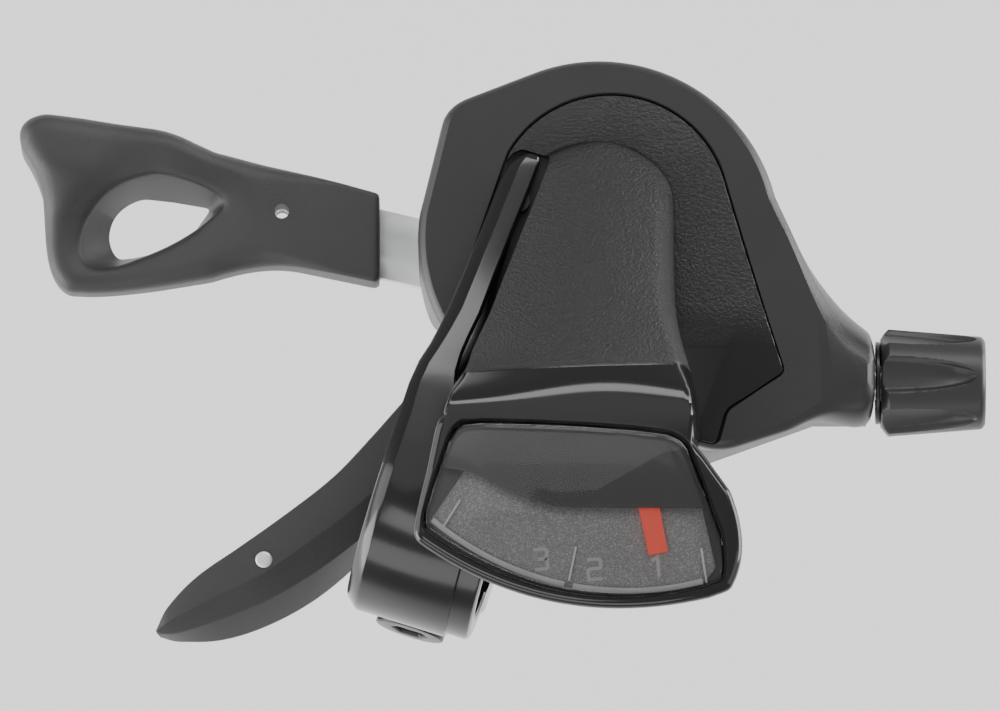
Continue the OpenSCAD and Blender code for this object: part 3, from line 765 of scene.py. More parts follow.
def build_housing():
    """The shell: chamfered rim, round nose, open bottom and a seat for the cover."""
    outline = housing_outline()
    levels = [(0.0, 0.5, -76.0), (0.35, 0.12, -70.0), (0.7, 0.0, -62.0)]  # height, inset, turn of the nose
    steps = 14
    for i in range(steps + 1):
        levels.append((0.7 + (13.6 - 0.7) * i / steps, 0.0, -56.0 + 110.0 * i / steps))
    levels += [(14.05, 0.06, 58.0), (14.35, 0.2, 63.0), (14.8, 0.62, 70.0), (15.0, 0.9, 76.0)]
    span = RIM_Z - HOUSING_LOW
    rings = []
    for lift, chamfer, lean in levels:
        lift *= span / levels[-1][0]
        ring = []
        for x, y in inset(outline, chamfer):
            nose = smooth_step((x - 21.5) / 9.5)
            around = math.radians(lean)
            z = HOUSING_LOW + lift
            draft = 2.0 + 1.5 * smooth_step((x - 11.5) / 6.0) * (1 - nose)
            y += draft * max(1 - lift / (0.9 * span), 0.0) * smooth_step((-3.0 - y) / 6.0)
            y += nose * (math.cos(around) ** 0.8 - 1) * (y - CABLE_Y)
            z += nose * (CABLE_Z + 7.5 * math.sin(around) - z)
            ring.append((x, y, z))
        rings.append(ring)
    shell = stack("housing_shell", rings, sharp=25)
    seat_z = bottom_of("centre_cover")
    seat = ((seat_z, -0.12), (RIM_Z - 0.35, -0.12), (RIM_Z - 0.15, -0.2), (RIM_Z + 0.15, -0.5))
    cut(shell, stack("seat", terraces(seam_outline(), seat)))
    room = soften([(min(x, 21.0), max(y, 0.36 * x - 21.2 if x > 11.5 else y))
                   for x, y in inset(outline, 2.0)], 0.1)
    cut(shell, prism("room", room, HOUSING_LOW - 1, seat_z - 1.1))
    mouth = arc((0.5, 15.3), 3, 20, 160, 8) + [(-5.2, 6), (-9.2, -9), (-6, -12.2), (9.5, -14.5)]
    cut(shell, prism("mouth", inset(resample(mouth, 60), -0.5), seat_z - 3, RIM_Z))
    cut(shell, rod("port", 4.6, NOSE_X - 5, NOSE_X + 1))
    cut(shell, rod("cable_hole", 1.4, 19, NOSE_X - 4))
    tidy_solid(shell, 28)
    return settle(shell, "base", "satin_black", finish_of("satin"), "housing")


RIDGE = [  # height of the cover's middle line
    (-22.0, 20.52), (-19.5, 20.4), (-17.0, 19.7), (-14.0, 18.0), (-10.0, 15.5), (-4.0, 12.3), (4.0, 8.6),
    (12.0, 5.2), (16.2, 3.6)]


def skin_top(x, y, inwards=0.0):
    """Height of the cover's skin."""
    left, right = skin_sides(y)
    middle = 0.5
    side = (x - middle) / (middle - left if x < middle else right - middle)
    flatness = smooth_step((-12.0 - y) / 8.0)
    crown = spline([(-12.0, 4.6), (0.0, 4.2), (12.0, 1.4)], y) if x < middle else 1.3
    height = spline(RIDGE, y) - (1 - flatness) * crown * side * side - inwards
    width = spline([(-21.0, 1.0), (-13.0, 2.4), (6.0, 2.4), (15.0, 1.6)], y) + inwards
    if y > SKIN_TURN:
        gap = (1 - math.hypot((x - FRONT_X) / FRONT_R, (y - SKIN_TURN) / (SKIN_END - SKIN_TURN))) * 8.4
    elif x > middle:
        gap = min(right - x, (SKIN_END - y) * 1.1)
    else:
        gap = min(x - left, SKIN_END - y)
    rise = min(max(gap / width, 0.0), 1.0)
    foot = RIM_Z - 0.15
    return foot + (max(height, foot) - foot) * math.sqrt(1 - (1 - rise) ** 2)


def bar_clearance(x, y):
    """Height of the cover's underside, which lifts over the bar."""
    behind = (-17.2 - 0.315 * x) - y
    return RIM_Z - 0.7 + 13.2 * smooth_step(behind / 6.0)


def skin_solid(name, inwards):
    """The cover's skin as a solid, or the hollow inside it."""
    rows, columns = 74, 72
    straight = 0.62  # share of the rows that lie before the round front
    front = SKIN_END - 0.02
    rings = []
    for i in range(rows + 1):
        share = i / rows
        if share < straight:
            y = SKIN_BACK + (SKIN_TURN - SKIN_BACK) * share / straight
        else:
            y = SKIN_TURN + (front - SKIN_TURN) * math.sin(math.pi / 2 * (share - straight) / (1 - straight))
        y -= inwards * smooth_step((y - 2.0) / 12.0)
        left, right = skin_sides(min(y, front))
        left, right = left + inwards, right - inwards
        if right - left < 0.4:
            break
        across = [left + (right - left) * (0.5 - 0.5 * math.cos(math.pi * k / columns))
                  for k in range(columns + 1)]
        top = [(x, y, skin_top(x, y, inwards)) for x in across]
        if inwards and y > -14.0:
            low = [(x, y, RIM_Z - 3.0) for x in across]
        else:
            low = [(x, y, bar_clearance(x, y) + (1.2 if inwards else 0.0)) for x in across]
        low = [(p[0], p[1], min(p[2], q[2] - 0.02)) for p, q in zip(low, top)]
        rings.append(top + list(reversed(low)))
    return stack(name, rings, sharp=40)


def build_cover():
    """The centre cover: let-in plate, grained dome and the pod that frames the display."""
    plate = slab("centre_cover_shell", seam_outline(), bottom_of("centre_cover"), RIM_Z, 0.22, sharp=28)
    join_solid(plate, skin_solid("skin", 0.0), "UNION")
    floor = DIAL_Z - 1.0
    pod = ((floor, 1.7), (floor + 0.25, 1.2), (floor + 0.7, 0.9), (floor + 1.2, 0.75), (POD_TOP - 1.3, 0.06),
           (POD_TOP - 0.75, 0.08), (POD_TOP - 0.35, 0.3), (POD_TOP - 0.1, 0.62), (POD_TOP, 1.0))
    join_solid(plate, stack("pod", terraces(pod_outline(), pod)), "UNION")
    well = ((DIAL_Z, 0.0), (POD_TOP - 0.5, 0.0), (POD_TOP - 0.25, -0.12), (POD_TOP + 0.3, -0.55))
    cut(plate, stack("well", terraces(window_outline(), well)))
    cut(plate, arm_solid("slot", 0.35))
    cut(plate, skin_solid("hollow", 1.4))
    tidy_solid(plate, 30)
    return settle(plate, "base", "gloss_black", finish_of("cover"), "centre_cover")


# ---------------------------------------------------------------- clamp

ARM = [  # Y, middle X, half width, top Z
    (44.4, -2.5, 0.8, 2.7), (44.2, -2.65, 1.15, 2.9), (43.6, -2.9, 1.55, 3.1), (42.4, -3.15, 1.8, 3.4),
    (40.0, -3.35, 1.9, 3.9), (34.0, -3.65, 1.85, 5.1), (28.0, -3.95, 1.85, 6.7), (23.0, -4.2, 1.95, 8.3),
    (20.0, -4.55, 1.95, 9.3), (17.5, -4.85, 2.05, 10.1), (15.0, -5.1, 2.4, 10.9), (12.0, -4.85, 2.9, 11.9),
    (8.0, -4.3, 3.45, 12.8), (5.5, -4.3, 3.45, 13.55), (3.5, -4.3, 3.45, 13.98), (1.5, -4.3, 3.45, 14.22)]


def arm_solid(name, grow):
    """The bracket's arm, or with grow the slot that it lies in."""
    foot = bottom_of("centre_cover") - grow * 2
    rings = []
    for y, middle, half, top in ARM[:-3] if grow else ARM:
        bevel = 0.45 * half * (2 - smooth_step((24.0 - y) / 14.0))
        half += grow
        top += (grow + (3.0 if y > 14 else 0.6)) if grow else 0.0
        y += grow if y > 40 else 0.0
        low = foot if y > 16.6 else -4.0
        if grow:
            half, middle = half + 0.4, middle + 0.4
        skirt = 0.0 if grow else 0.9 * smooth_step((30.0 - y) / 4.0) * smooth_step((y - 12.0) / 4.0)
        ring = [(middle - half, y, low), (middle + half + skirt, y, low),
                (middle + half + skirt, y, top - 2.0), (middle + half, y, top - 1.8),
                (middle + half, y, top - 0.5),
                (middle + half - 0.1, y, top - 0.16), (middle + half - 0.3, y, top),
                (middle - half + bevel, y, top), (middle - half + bevel * 0.85, y, top - 0.05),
                (middle - half + 0.15, y, top - 0.85), (middle - half, y, top - 1.05)]
        rings.append(ring)
    return stack(name, rings, BAR, 30)


BAND_WALL = 3.2
BOLT_HOLE_R = 2.65
NUT_R = 4.6  # over its corners
EAR_TOP = -9.0


def build_clamp():
    """The band round the bar, its ears and its arm."""
    bore = frame["record"]["mounts"][0]["dims"]["r_mm"]
    outer = bore + BAND_WALL
    half = BAND_HALF
    profile = [(-half, bore + 0.3), (-half, outer - 1.5), (-half + 0.15, outer - 1.2),
               (-half + 1.4, outer - 0.1), (-half + 1.7, outer), (half - 3.0, outer),
               (half - 2.8, outer - 0.1), (half - 2.72, outer - 0.4), (half - 2.5, outer - 0.45),
               (half - 0.55, outer - 0.45), (half - 0.2, outer - 0.6), (half, outer - 1.0),
               (half, bore + 0.3), (half - 0.3, bore), (-half + 0.3, bore)]
    band = lathe("clamp_band", profile, 128, bar_frame, BAR, 30)
    low = bottom_of("clamp_bracket")
    ear_y = 8.0
    block = soften([(-half, -ear_y), (half, -ear_y), (half, ear_y), (-half, ear_y)], 1.6)
    join_solid(band, slab("ears", block, low, EAR_TOP, 0.5, BAR), "UNION")
    arm = arm_solid("arm", 0.0)
    cut(arm, rod("arm_bore", bore + 1.2, -20, 20, 96, bar_frame, BAR))
    join_solid(band, arm, "UNION")
    gap = 1.0
    slit = [(-half - 2, -gap), (half + 2, -gap), (half + 2, gap), (-half - 2, gap)]
    cut(band, prism("slit", slit, low - 1, -bore * 0.9, BAR))
    cut(band, rod("bore", bore, -20, 20, 128, bar_frame, BAR))
    bolt_z = (top_of("clamp_bolt") + bottom_of("clamp_bolt")) / 2

    def bolt_frame(along, radius, angle):
        """A point at a place along the clamp's bolt and round it."""
        return (radius * math.cos(angle), along, bolt_z + radius * math.sin(angle))

    cut(band, rod("bolt_hole", BOLT_HOLE_R, -9, 9, 48, bolt_frame, BAR))
    cut(band, rod("nut_pocket", NUT_R, 5.0, 9, 6, bolt_frame, BAR))
    tidy_solid(band, 30)
    return settle(band, "base", "clamp_black", finish_of("clamp"), "clamp_bracket")


# ---------------------------------------------------------------- display

def build_lens():
    """The clear window, a little raised in the middle."""
    window = inset(window_outline(), 0.12)
    crest = POD_TOP - 0.12
    rings = terraces(window, (
        (MASK_TOP + 0.1, 0.1), (MASK_TOP + 0.2, 0.0), (crest - 0.75, 0.0), (crest - 0.5, 0.07),
        (crest - 0.34, 0.25), (crest - 0.27, 0.5)))
    middle = (-3.6, -32.0)
    for share in (0.12, 0.3, 0.5, 0.7, 0.88):
        z = crest - 0.27 + 0.25 * (1 - (1 - share) ** 2)
        rings.append([(x + (middle[0] - x) * share, y + (middle[1] - y) * share, z)
                      for x, y in inset(window, 0.5)])
    lens = stack("window_pane", rings, sharp=40)
    return settle(lens, "base", "window_clear", finish_of("clear"), "window_lens")


def build_panel():
    """The dark panel behind the upper part of the window."""
    outline = bend((10.15, -25.2), (9.35, -22.94), (6.8, -22.64), 6)
    outline += [(6.6, -21.4), (0.8, -20.9)]
    outline += bend((0.6, -21.95), (-6.0, -21.44), (-14.6, -21.34), 8)
    outline += bend((-17.0, -21.54), (-18.36, -22.24), (-18.96, -24.4), 6)
    outline += [(-19.6, -26.6)]
    outline += bend((-15.6, -27.3), (-8.6, -31.6), (-3.6, -31.5), 12)
    outline += [(11.8, -31.6)]
    panel = slab("window_panel", resample(soften(outline, 0.5), 180), MASK_LOW, MASK_TOP, 0.12)
    return settle(panel, "base", "window_black", finish_of("panel"), "window_mask")


RIB_CENTRE = (4.4, 2.7)  # of the arc that the dial's ribs stand on
RIB_R = 41.7
STRIP_CENTRE = (2.6, -5.7)  # of the bright strip
STRIP_R = 35.7
STRIP_HALF = 0.36


def build_dial():
    """The grey dial plate."""
    outline = [(-15.8, -25.4), (-21.0, -32.9)]
    outline += bend((-20.4, -33.9), (-5.8, -44.8), (11.4, -40.7), 24)
    outline += [(13.2, -38.6), (11.2, -29.8), (-4.4, -29.8)]
    dial = slab("dial_face", resample(soften(outline, 0.6), 200), DIAL_Z, DIAL_TOP, 0.12)
    return settle(dial, "base", "dial_grey", finish_of("dial"), "dial_plate")


DIGITS = {  # strokes on a grid one wide and two high, with round numbers for the bends
    "1": [[(0.15, 1.62), (0.62, 2.0), (0.62, 0.0)]],
    "2": [[(0.0, 2.0), (0.85, 2.0), (1.0, 1.85), (1.0, 1.2), (0.85, 1.05), (0.15, 1.05), (0.0, 0.9),
           (0.0, 0.0), (1.05, 0.0)]],
    "3": [[(0.0, 2.0), (0.85, 2.0), (1.0, 1.85), (1.0, 1.2), (0.85, 1.02), (0.3, 1.02)],
          [(0.85, 1.02), (1.0, 0.85), (1.0, 0.15), (0.85, 0.0), (0.0, 0.0)]],
}
DIGIT_SPOTS = {"3": (-7.7, -37.5), "2": (-1.3, -38.7), "1": (6.1, -38.4)}


def ribbon(path, half):
    """A flat outline of even width along an open path."""
    left, right = [], []
    points = [Vector(p) for p in path]
    for i, p in enumerate(points):
        ahead = (points[min(i + 1, len(points) - 1)] - p).normalized() if i + 1 < len(points) else None
        back = (p - points[i - 1]).normalized() if i else None
        way = ((ahead or back) + (back or ahead)).normalized()
        side = Vector((-way.y, way.x))
        stretch = 1 / max(side.dot(Vector((-(back or ahead).y, (back or ahead).x))), 0.5)
        left.append(p + side * half * stretch)
        right.append(p - side * half * stretch)
    return [tuple(p) for p in right] + [tuple(p) for p in reversed(left)]


def build_digits():
    """Plain gear numbers, raised a little on the dial."""
    width, height, half = 1.55, 1.2, 0.2
    for digit, (x, y) in DIGIT_SPOTS.items():
        points, faces = [], []
        lean = 0.28 * YAW
        for stroke in DIGITS[digit]:
            path = []
            for u, v in stroke:
                dx, dy = (u - 0.5) * width, (v - 1.0) * height
                path.append((x + dx * math.cos(lean) - dy * math.sin(lean),
                             y + dx * math.sin(lean) + dy * math.cos(lean)))
            flat = ribbon(path, half)
            start, count = len(points), len(flat)
            points += at_height(flat, DIAL_TOP - 0.02) + at_height(flat, DIAL_TOP + 0.07)
            pairs = count // 2
            top = start + count
            for i in range(pairs - 1):
                j = count - 1 - i
                faces.append((start + i, start + j, start + j - 1, start + i + 1))
                faces.append((top + i, top + i + 1, top + j - 1, top + j))
            for i in range(count):
                j = (i + 1) % count
                faces.append((start + i, start + j, top + j, top + i))
        mark = piece_from("digit_" + digit, points, faces)
        settle(mark, "base", "dial_grey", finish_of("mark"))


def build_strips():
    """The bright strip round the dial's lower edge, in two lengths with a break at the middle rib."""
    for name, start, end in (("dial_strip_left", 229.4, 257.9), ("dial_strip_right", 259.5, 284.6)):
        outer, inner = (arc(STRIP_CENTRE, STRIP_R + half, start, end, 40)
                        for half in (STRIP_HALF, -STRIP_HALF))
        strip = slab(name, outer + inner[::-1], DIAL_TOP - 0.05, DIAL_TOP + 0.7, 0.1, steps=2)
        settle(strip, "base", "dial_grey", finish_of("strip"))


class Growth(NodeMaker):
    """A geometry node tree: the Sockets of its inputs, and its end."""

    def __init__(self, name, **inputs):
        super().__init__(bpy.data.node_groups.new(name, "GeometryNodeTree"))
        face = self.tree.interface
        face.new_socket("Geometry", in_out="OUTPUT", socket_type="NodeSocketGeometry")
        for kind, titles in inputs.items():
            for title in titles:
                face.new_socket(title, in_out="INPUT", socket_type="NodeSocket" + kind)
        self.given = self.node("NodeGroupInput", {}, {})

    def end(self, geometry):
        """Turns the geometry real, gives it its finish and hands the tree over."""
        real = self.node("GeometryNodeRealizeInstances", {}, {0: geometry}).out(0)
        painted = self.node("GeometryNodeSetMaterial", {}, {
            "Geometry": real, "Material": self.given.out("Finish")}).out(0)
        self.node("NodeGroupOutput", {}, {0: painted})
        return self.tree


def rib_tree():
    """One thin rib at each of a few even stops along an arc, pointing at the arc's centre."""
    growth = Growth("dial ribs", Float=("Radius", "Start", "Sweep", "Rib Length", "Rib Width", "Rib Height"),
                    Int=("Count",), Vector=("Centre",), Material=("Finish",))
    given = growth.given.out
    curve = growth.node("GeometryNodeCurveArc", {"mode": "RADIUS"}, {
        "Radius": given("Radius"), "Start Angle": given("Start"), "Sweep Angle": given("Sweep")})
    stops = growth.node("GeometryNodeCurveToPoints", {"mode": "COUNT"}, {
        "Curve": curve.out("Curve"), "Count": given("Count")})
    size = growth.node("ShaderNodeCombineXYZ", {}, {
        "X": given("Rib Width"), "Y": given("Rib Length"), "Z": given("Rib Height")})
    rib = growth.node("GeometryNodeMeshCube", {}, {"Size": size.out(0)})
    inwards = growth.node("FunctionNodeAlignRotationToVector", {"axis": "X"}, {
        "Vector": stops.out("Tangent")})
    copies = growth.node("GeometryNodeInstanceOnPoints", {}, {
        "Points": stops.out("Points"), "Instance": rib.out("Mesh"), "Rotation": inwards.out("Rotation")})
    placed = growth.node("GeometryNodeTransform", {}, {
        "Geometry": copies.out(0), "Translation": given("Centre")})
    return growth.end(placed.out(0))


def coil_tree():
    """Round wire wound on a helix."""
    growth = Growth("wire coil", Float=("Coil Radius", "Wire Radius", "Turns", "Height"),
                    Int=("Steps",), Vector=("Turned", "Base"), Material=("Finish",))
    given = growth.given.out
    helix = growth.node("GeometryNodeCurveSpiral", {}, {
        "Start Radius": given("Coil Radius"), "End Radius": given("Coil Radius"),
        "Rotations": given("Turns"), "Height": given("Height"), "Resolution": given("Steps")})
    wire = growth.node("GeometryNodeCurvePrimitiveCircle", {}, {
        "Resolution": 14, "Radius": given("Wire Radius")})
    tube = growth.node("GeometryNodeCurveToMesh", {}, {
        "Fill Caps": True, "Curve": helix.out(0), "Profile Curve": wire.out(0)})
    placed = growth.node("GeometryNodeTransform", {}, {
        "Geometry": tube.out(0), "Translation": given("Base"), "Rotation": given("Turned")})
    smooth = growth.node("GeometryNodeSetShadeSmooth", {}, {0: placed.out(0)})
    return growth.end(smooth.out(0))


def grow_tree(name, tree, values):
    """An object grown by a node tree with the given inputs, baked to a plain mesh."""
    item = new_object(name, bpy.data.meshes.new(name))
    modifier = item.modifiers.new("Grow", "NODES")
    modifier.node_group = tree
    for socket in tree.interface.items_tree:
        if socket.in_out == "INPUT" and socket.name in values:
            modifier[socket.identifier] = values[socket.name]
    return bake_modifiers(item)


COILS = {  # node: coil radius, wire radius and turns, all as in the packed model, and its body
    "thumb_lever_spring": (6.6, 0.35, 1.6, "base"),
    "release_lever_spring": (6.6, 0.35, 1.6, "base"),
    "spool_spring": (8.4, 0.4, 1.8, "base"),
    "feed_pawl_spring": (1.8, 0.25, 1.8, "thumb_lever"),
    "holding_pawl_spring": (1.9, 0.25, 1.8, "base"),
    "adjuster_spring": (3.5, 0.35, 4.0, "base"),
}


def build_coils():
    """The six wire springs."""
    tree = coil_tree()
    for node, (radius, wire, turns, body) in COILS.items():
        low, high = (Vector(corner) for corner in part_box(node))
        middle = (low + high) / 2
        if node == "adjuster_spring":
            base = MECHANISM @ Vector((NOSE_X - 4.9 + wire, CABLE_Y, CABLE_Z))
            length = 5.0 - 2 * wire
            turned = (0.0, math.pi / 2, YAW)
        else:
            length = (high.z - low.z) / MM - 2 * wire
            base = Vector((middle.x, middle.y, low.z + wire * MM))
            if radius > 3:
                base.x, base.y = AXLE[0], AXLE[1]
            turned = (0.0, 0.0, YAW)
        coil = grow_tree(node + "_coil", tree, {
            "Coil Radius": radius * MM, "Wire Radius": wire * MM, "Turns": turns, "Height": length * MM,
            "Steps": int(turns * 40), "Turned": turned, "Base": tuple(base), "Finish": finish_of("wire")})
        settle(coil, body, "spring_steel", finish_of("wire"), node)


def build_ribs():
    """Three thin clear ribs that divide the dial."""
    span = math.radians(43.2)
    centre = MECHANISM @ Vector((RIB_CENTRE[0], RIB_CENTRE[1], DIAL_TOP + 0.35))
    ribs = grow_tree("dial_ribs", rib_tree(), {
        "Radius": RIB_R * MM, "Start": math.radians(236.9) + YAW, "Sweep": span, "Rib Length": 4.2 * MM,
        "Rib Width": 0.24 * MM, "Rib Height": 0.8 * MM, "Count": 3, "Centre": tuple(centre),
        "Finish": finish_of("strip")})
    settle(ribs, "base", "dial_grey", finish_of("strip"))


def build_needle():
    """The red pointer: an arm from its pivot under the dome, a ramp, and a square-ended flag on the dial."""
    pivot = TO_MECHANISM @ Vector(JOINTS["indicator"]["pos_m"])
    tip = (6.3, -36.9)
    root = (5.0, -30.4)
    arm_z = top_of("indicator_drive_pin") - 1.0
    flag_z = NEEDLE_TOP - 0.6
    way = Vector((tip[0] - pivot.x, tip[1] - pivot.y)).normalized()
    side = Vector((-way.y, way.x))
    arm = ribbon([(pivot.x, pivot.y), (pivot.x + way.x * 27, pivot.y + way.y * 27)], 2.0)
    needle = slab("gear_pointer", resample(soften(arm, 1.8), 80), arm_z, arm_z + 1.0, 0.12)
    cut(needle, prism("pivot_hole", circle((pivot.x, pivot.y), 1.3), arm_z - 1, arm_z + 2))
    low, high = (Vector(corner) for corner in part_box("indicator_drive_pin"))
    drive = TO_MECHANISM @ ((low + high) / 2)
    slot = ribbon([(drive.x - way.x * 1.2, drive.y - way.y * 1.2),
                   (drive.x + way.x * 1.4, drive.y + way.y * 1.4)], 1.1)
    cut(needle, prism("drive_slot", resample(slot, 60), arm_z - 1, arm_z + 2))
    start = Vector((pivot.x, pivot.y)) + way * 26
    ramp_end = Vector(root) - way * 4.0
    lean = Vector((tip[0] - root[0], tip[1] - root[1])).normalized()
    rings = []
    for middle, across, z, half in (
            (start, side, arm_z + 0.1, 1.2), (start + way * 1.5, side, arm_z + 0.2, 1.2),
            (ramp_end, side, flag_z, 1.2), (ramp_end + way * 1.2, side, flag_z + 0.05, 1.2),
            (Vector(root), side, flag_z + 0.05, 1.25),
            (Vector(tip), Vector((-lean.y, lean.x)), flag_z + 0.05, 1.15)):
        a, b = middle - across * half, middle + across * half
        rings.append([(a.x, a.y, z), (b.x, b.y, z), (b.x, b.y, z + 0.5), (a.x, a.y, z + 0.5)])
    join_solid(needle, stack("flag", rings), "UNION")
    tidy_solid(needle, 30)
    return settle(needle, "indicator", "needle_red", finish_of("needle"), "indicator_needle")


# ---------------------------------------------------------------- levers

def paddle_outline():
    """The release paddle from above."""
    outline = bend((-70.3, 17.0), (-71.9, 20.8), (-67.6, 21.5), 8)
    outline += [(-62.8, 21.0), (-58.3, 20.4)]
    outline += bend((-54.6, 19.9), (-52.0, 19.5), (-49.4, 18.2), 6)
    outline += bend((-47.0, 17.2), (-42.4, 16.4), (-27.6, 12.2), 8)
    outline += bend((-27.2, 12.1), (-27.1, 11.9), (-27.1, 11.4), 3)
    outline += bend((-27.1, 1.6), (-27.1, 1.1), (-27.8, 1.2), 3)
    outline += bend((-36.8, 3.1), (-41.2, 4.0), (-47.4, 1.9), 8)
    outline += bend((-53.4, 0.9), (-59.0, 0.1), (-62.2, 0.1), 6)
    outline += bend((-64.6, 0.2), (-67.2, 1.2), (-67.6, 6.4), 10)
    outline += bend((-67.9, 11.6), (-68.5, 14.2), (-70.3, 17.0), 8)[:-1]
    outline.reverse()
    return resample(outline, 260)


def loop_top():
    """The finger loop's mouth, which leans in to a smaller opening below."""
    outline = bend((-63.5, 5.1), (-63.3, 10.6), (-57.8, 13.3), 8)
    outline += bend((-54.2, 14.3), (-49.2, 13.4), (-46.8, 11.9), 8)
    outline += bend((-45.6, 10.9), (-49.8, 7.0), (-54.6, 5.0), 8)
    outline += bend((-58.8, 3.4), (-63.4, 2.4), (-63.5, 5.1), 8)[:-1]
    return outline


def loop_low():
    """The finger loop's opening at the paddle's underside."""
    outline = bend((-60.0, 7.6), (-59.8, 11.2), (-55.8, 12.3), 8)
    outline += [(-52.2, 11.9), (-47.6, 11.1)]
    outline += bend((-50.2, 7.4), (-53.2, 5.8), (-56.6, 5.1), 6)
    outline += bend((-58.8, 4.8), (-59.9, 5.8), (-60.0, 7.6), 6)[:-1]
    return outline


def eased(outline, passes):
    """The outline with its corners eased by averaging neighbours."""
    outline = resample(outline, 160)
    for _ in range(passes):
        outline = [((a[0] + 2 * b[0] + c[0]) / 4, (a[1] + 2 * b[1] + c[1]) / 4)
                   for a, b, c in zip(outline[-1:] + outline[:-1], outline, outline[1:] + outline[:1])]
    return outline


def turn_to(outline, centre, angle):
    """Where a ray from centre leaves an outline."""
    way = Vector((math.cos(angle), math.sin(angle)))
    best = 0.0
    for a, b in zip(outline, outline[1:] + outline[:1]):
        a, b = Vector(a) - Vector(centre), Vector(b) - Vector(centre)
        side = b - a
        cross = way.x * side.y - way.y * side.x
        if abs(cross) < 1e-9:
            continue
        reach = (a.x * side.y - a.y * side.x) / cross
        share = (a.x * way.y - a.y * way.x) / cross
        if reach > 0 and -1e-6 <= share <= 1 + 1e-6:
            best = max(best, reach)
    return (centre[0] + way.x * best, centre[1] + way.y * best)


GRIP_HEIGHT = 6.3  # of the finger loop over its underside
LEVER_BEARING = 165.8  # degrees from +X to the release lever's strip, as in the packed model
PADDLE_PIN_R = 40.2  # from the axle to the pin that holds the paddle on the strip


def rounded_off(gap, radius):
    """How much a rounded edge takes off the height at this distance from it."""
    share = max(1 - gap / radius, 0.0)
    return radius * (1 - math.sqrt(max(1 - share * share, 0.0)))


def paddle_top(x, y, out_gap, loop_gap):
    """Height of the finger loop's upper side."""
    grip = bottom_of("release_paddle") + GRIP_HEIGHT
    lip = 2.7 * smooth_step((x + 40.0) / -14.0) * smooth_step((y - 9.5 + 0.12 * (x + 70)) / 6.5)
    tail = 1.2 * smooth_step((-58.0 - x) / 9.0) * smooth_step((y - 6.0) / 8.0)
    hollow = 0.9 * smooth_step((x + 38.0) / -8.0) * smooth_step((4.2 - loop_gap) / 4.2)
    flat = grip + lip + tail - hollow
    radius = 0.5 + 1.9 * smooth_step((x + 31.0) / -12.0)
    return flat - rounded_off(out_gap, radius) - rounded_off(loop_gap, 1.1)


def paddle_low(x, y, out_gap, loop_gap):
    """Height of the finger loop's underside, the same all over but for its rounded edges."""
    return bottom_of("release_paddle") + rounded_off(out_gap, 1.6) + rounded_off(loop_gap, 0.8)


def build_paddle():
    """The release lever's plastic paddle with its finger loop."""
    outer = resample(paddle_outline(), 240)
    mouth, throat = eased(loop_top(), 24), eased(loop_low(), 12)
    centre = (-54.6, 8.8)
    wide, narrow = ([turn_to(loop, centre, math.atan2(y - centre[1], x - centre[0])) for x, y in outer]
                    for loop in (mouth, throat))
    shares = [0.0, 0.004, 0.015, 0.035, 0.065, 0.1, 0.15, 0.22, 0.3, 0.4, 0.5, 0.6, 0.7, 0.78, 0.85, 0.9,
              0.94, 0.97, 0.99, 1.0]
    tops, lows = [], []
    for share in shares:
        for side, inner, loop, height in ((tops, wide, mouth, paddle_top),
                                          (lows, narrow, throat, paddle_low)):
            ring = []
            for p, q in zip(outer, inner):
                x, y = p[0] + (q[0] - p[0]) * share, p[1] + (q[1] - p[1]) * share
                out_gap = 0.0 if share == 0 else edge_distance((x, y), outer)
                loop_gap = 0.0 if share == 1 else edge_distance((x, y), loop)
                ring.append((x, y, height(x, y, out_gap, loop_gap)))
            side.append(ring)
    rings = tops + list(reversed(lows))
    points = [p for ring in rings for p in ring]
    faces = loop_faces(len(rings), len(outer), True)
    paddle = piece_from("release_paddle_grip", points, faces, sharp=50)
    pin = arc((0, 0), PADDLE_PIN_R, LEVER_BEARING, LEVER_BEARING, 1)[0]
    cut(paddle, prism("pin_hole", circle(pin, 0.9), bottom_of("release_paddle") - 2,
                      top_of("release_paddle") + 2))
    tidy_solid(paddle, 40)
    return settle(paddle, "release_lever", "textured_black", finish_of("grain"), "release_paddle")


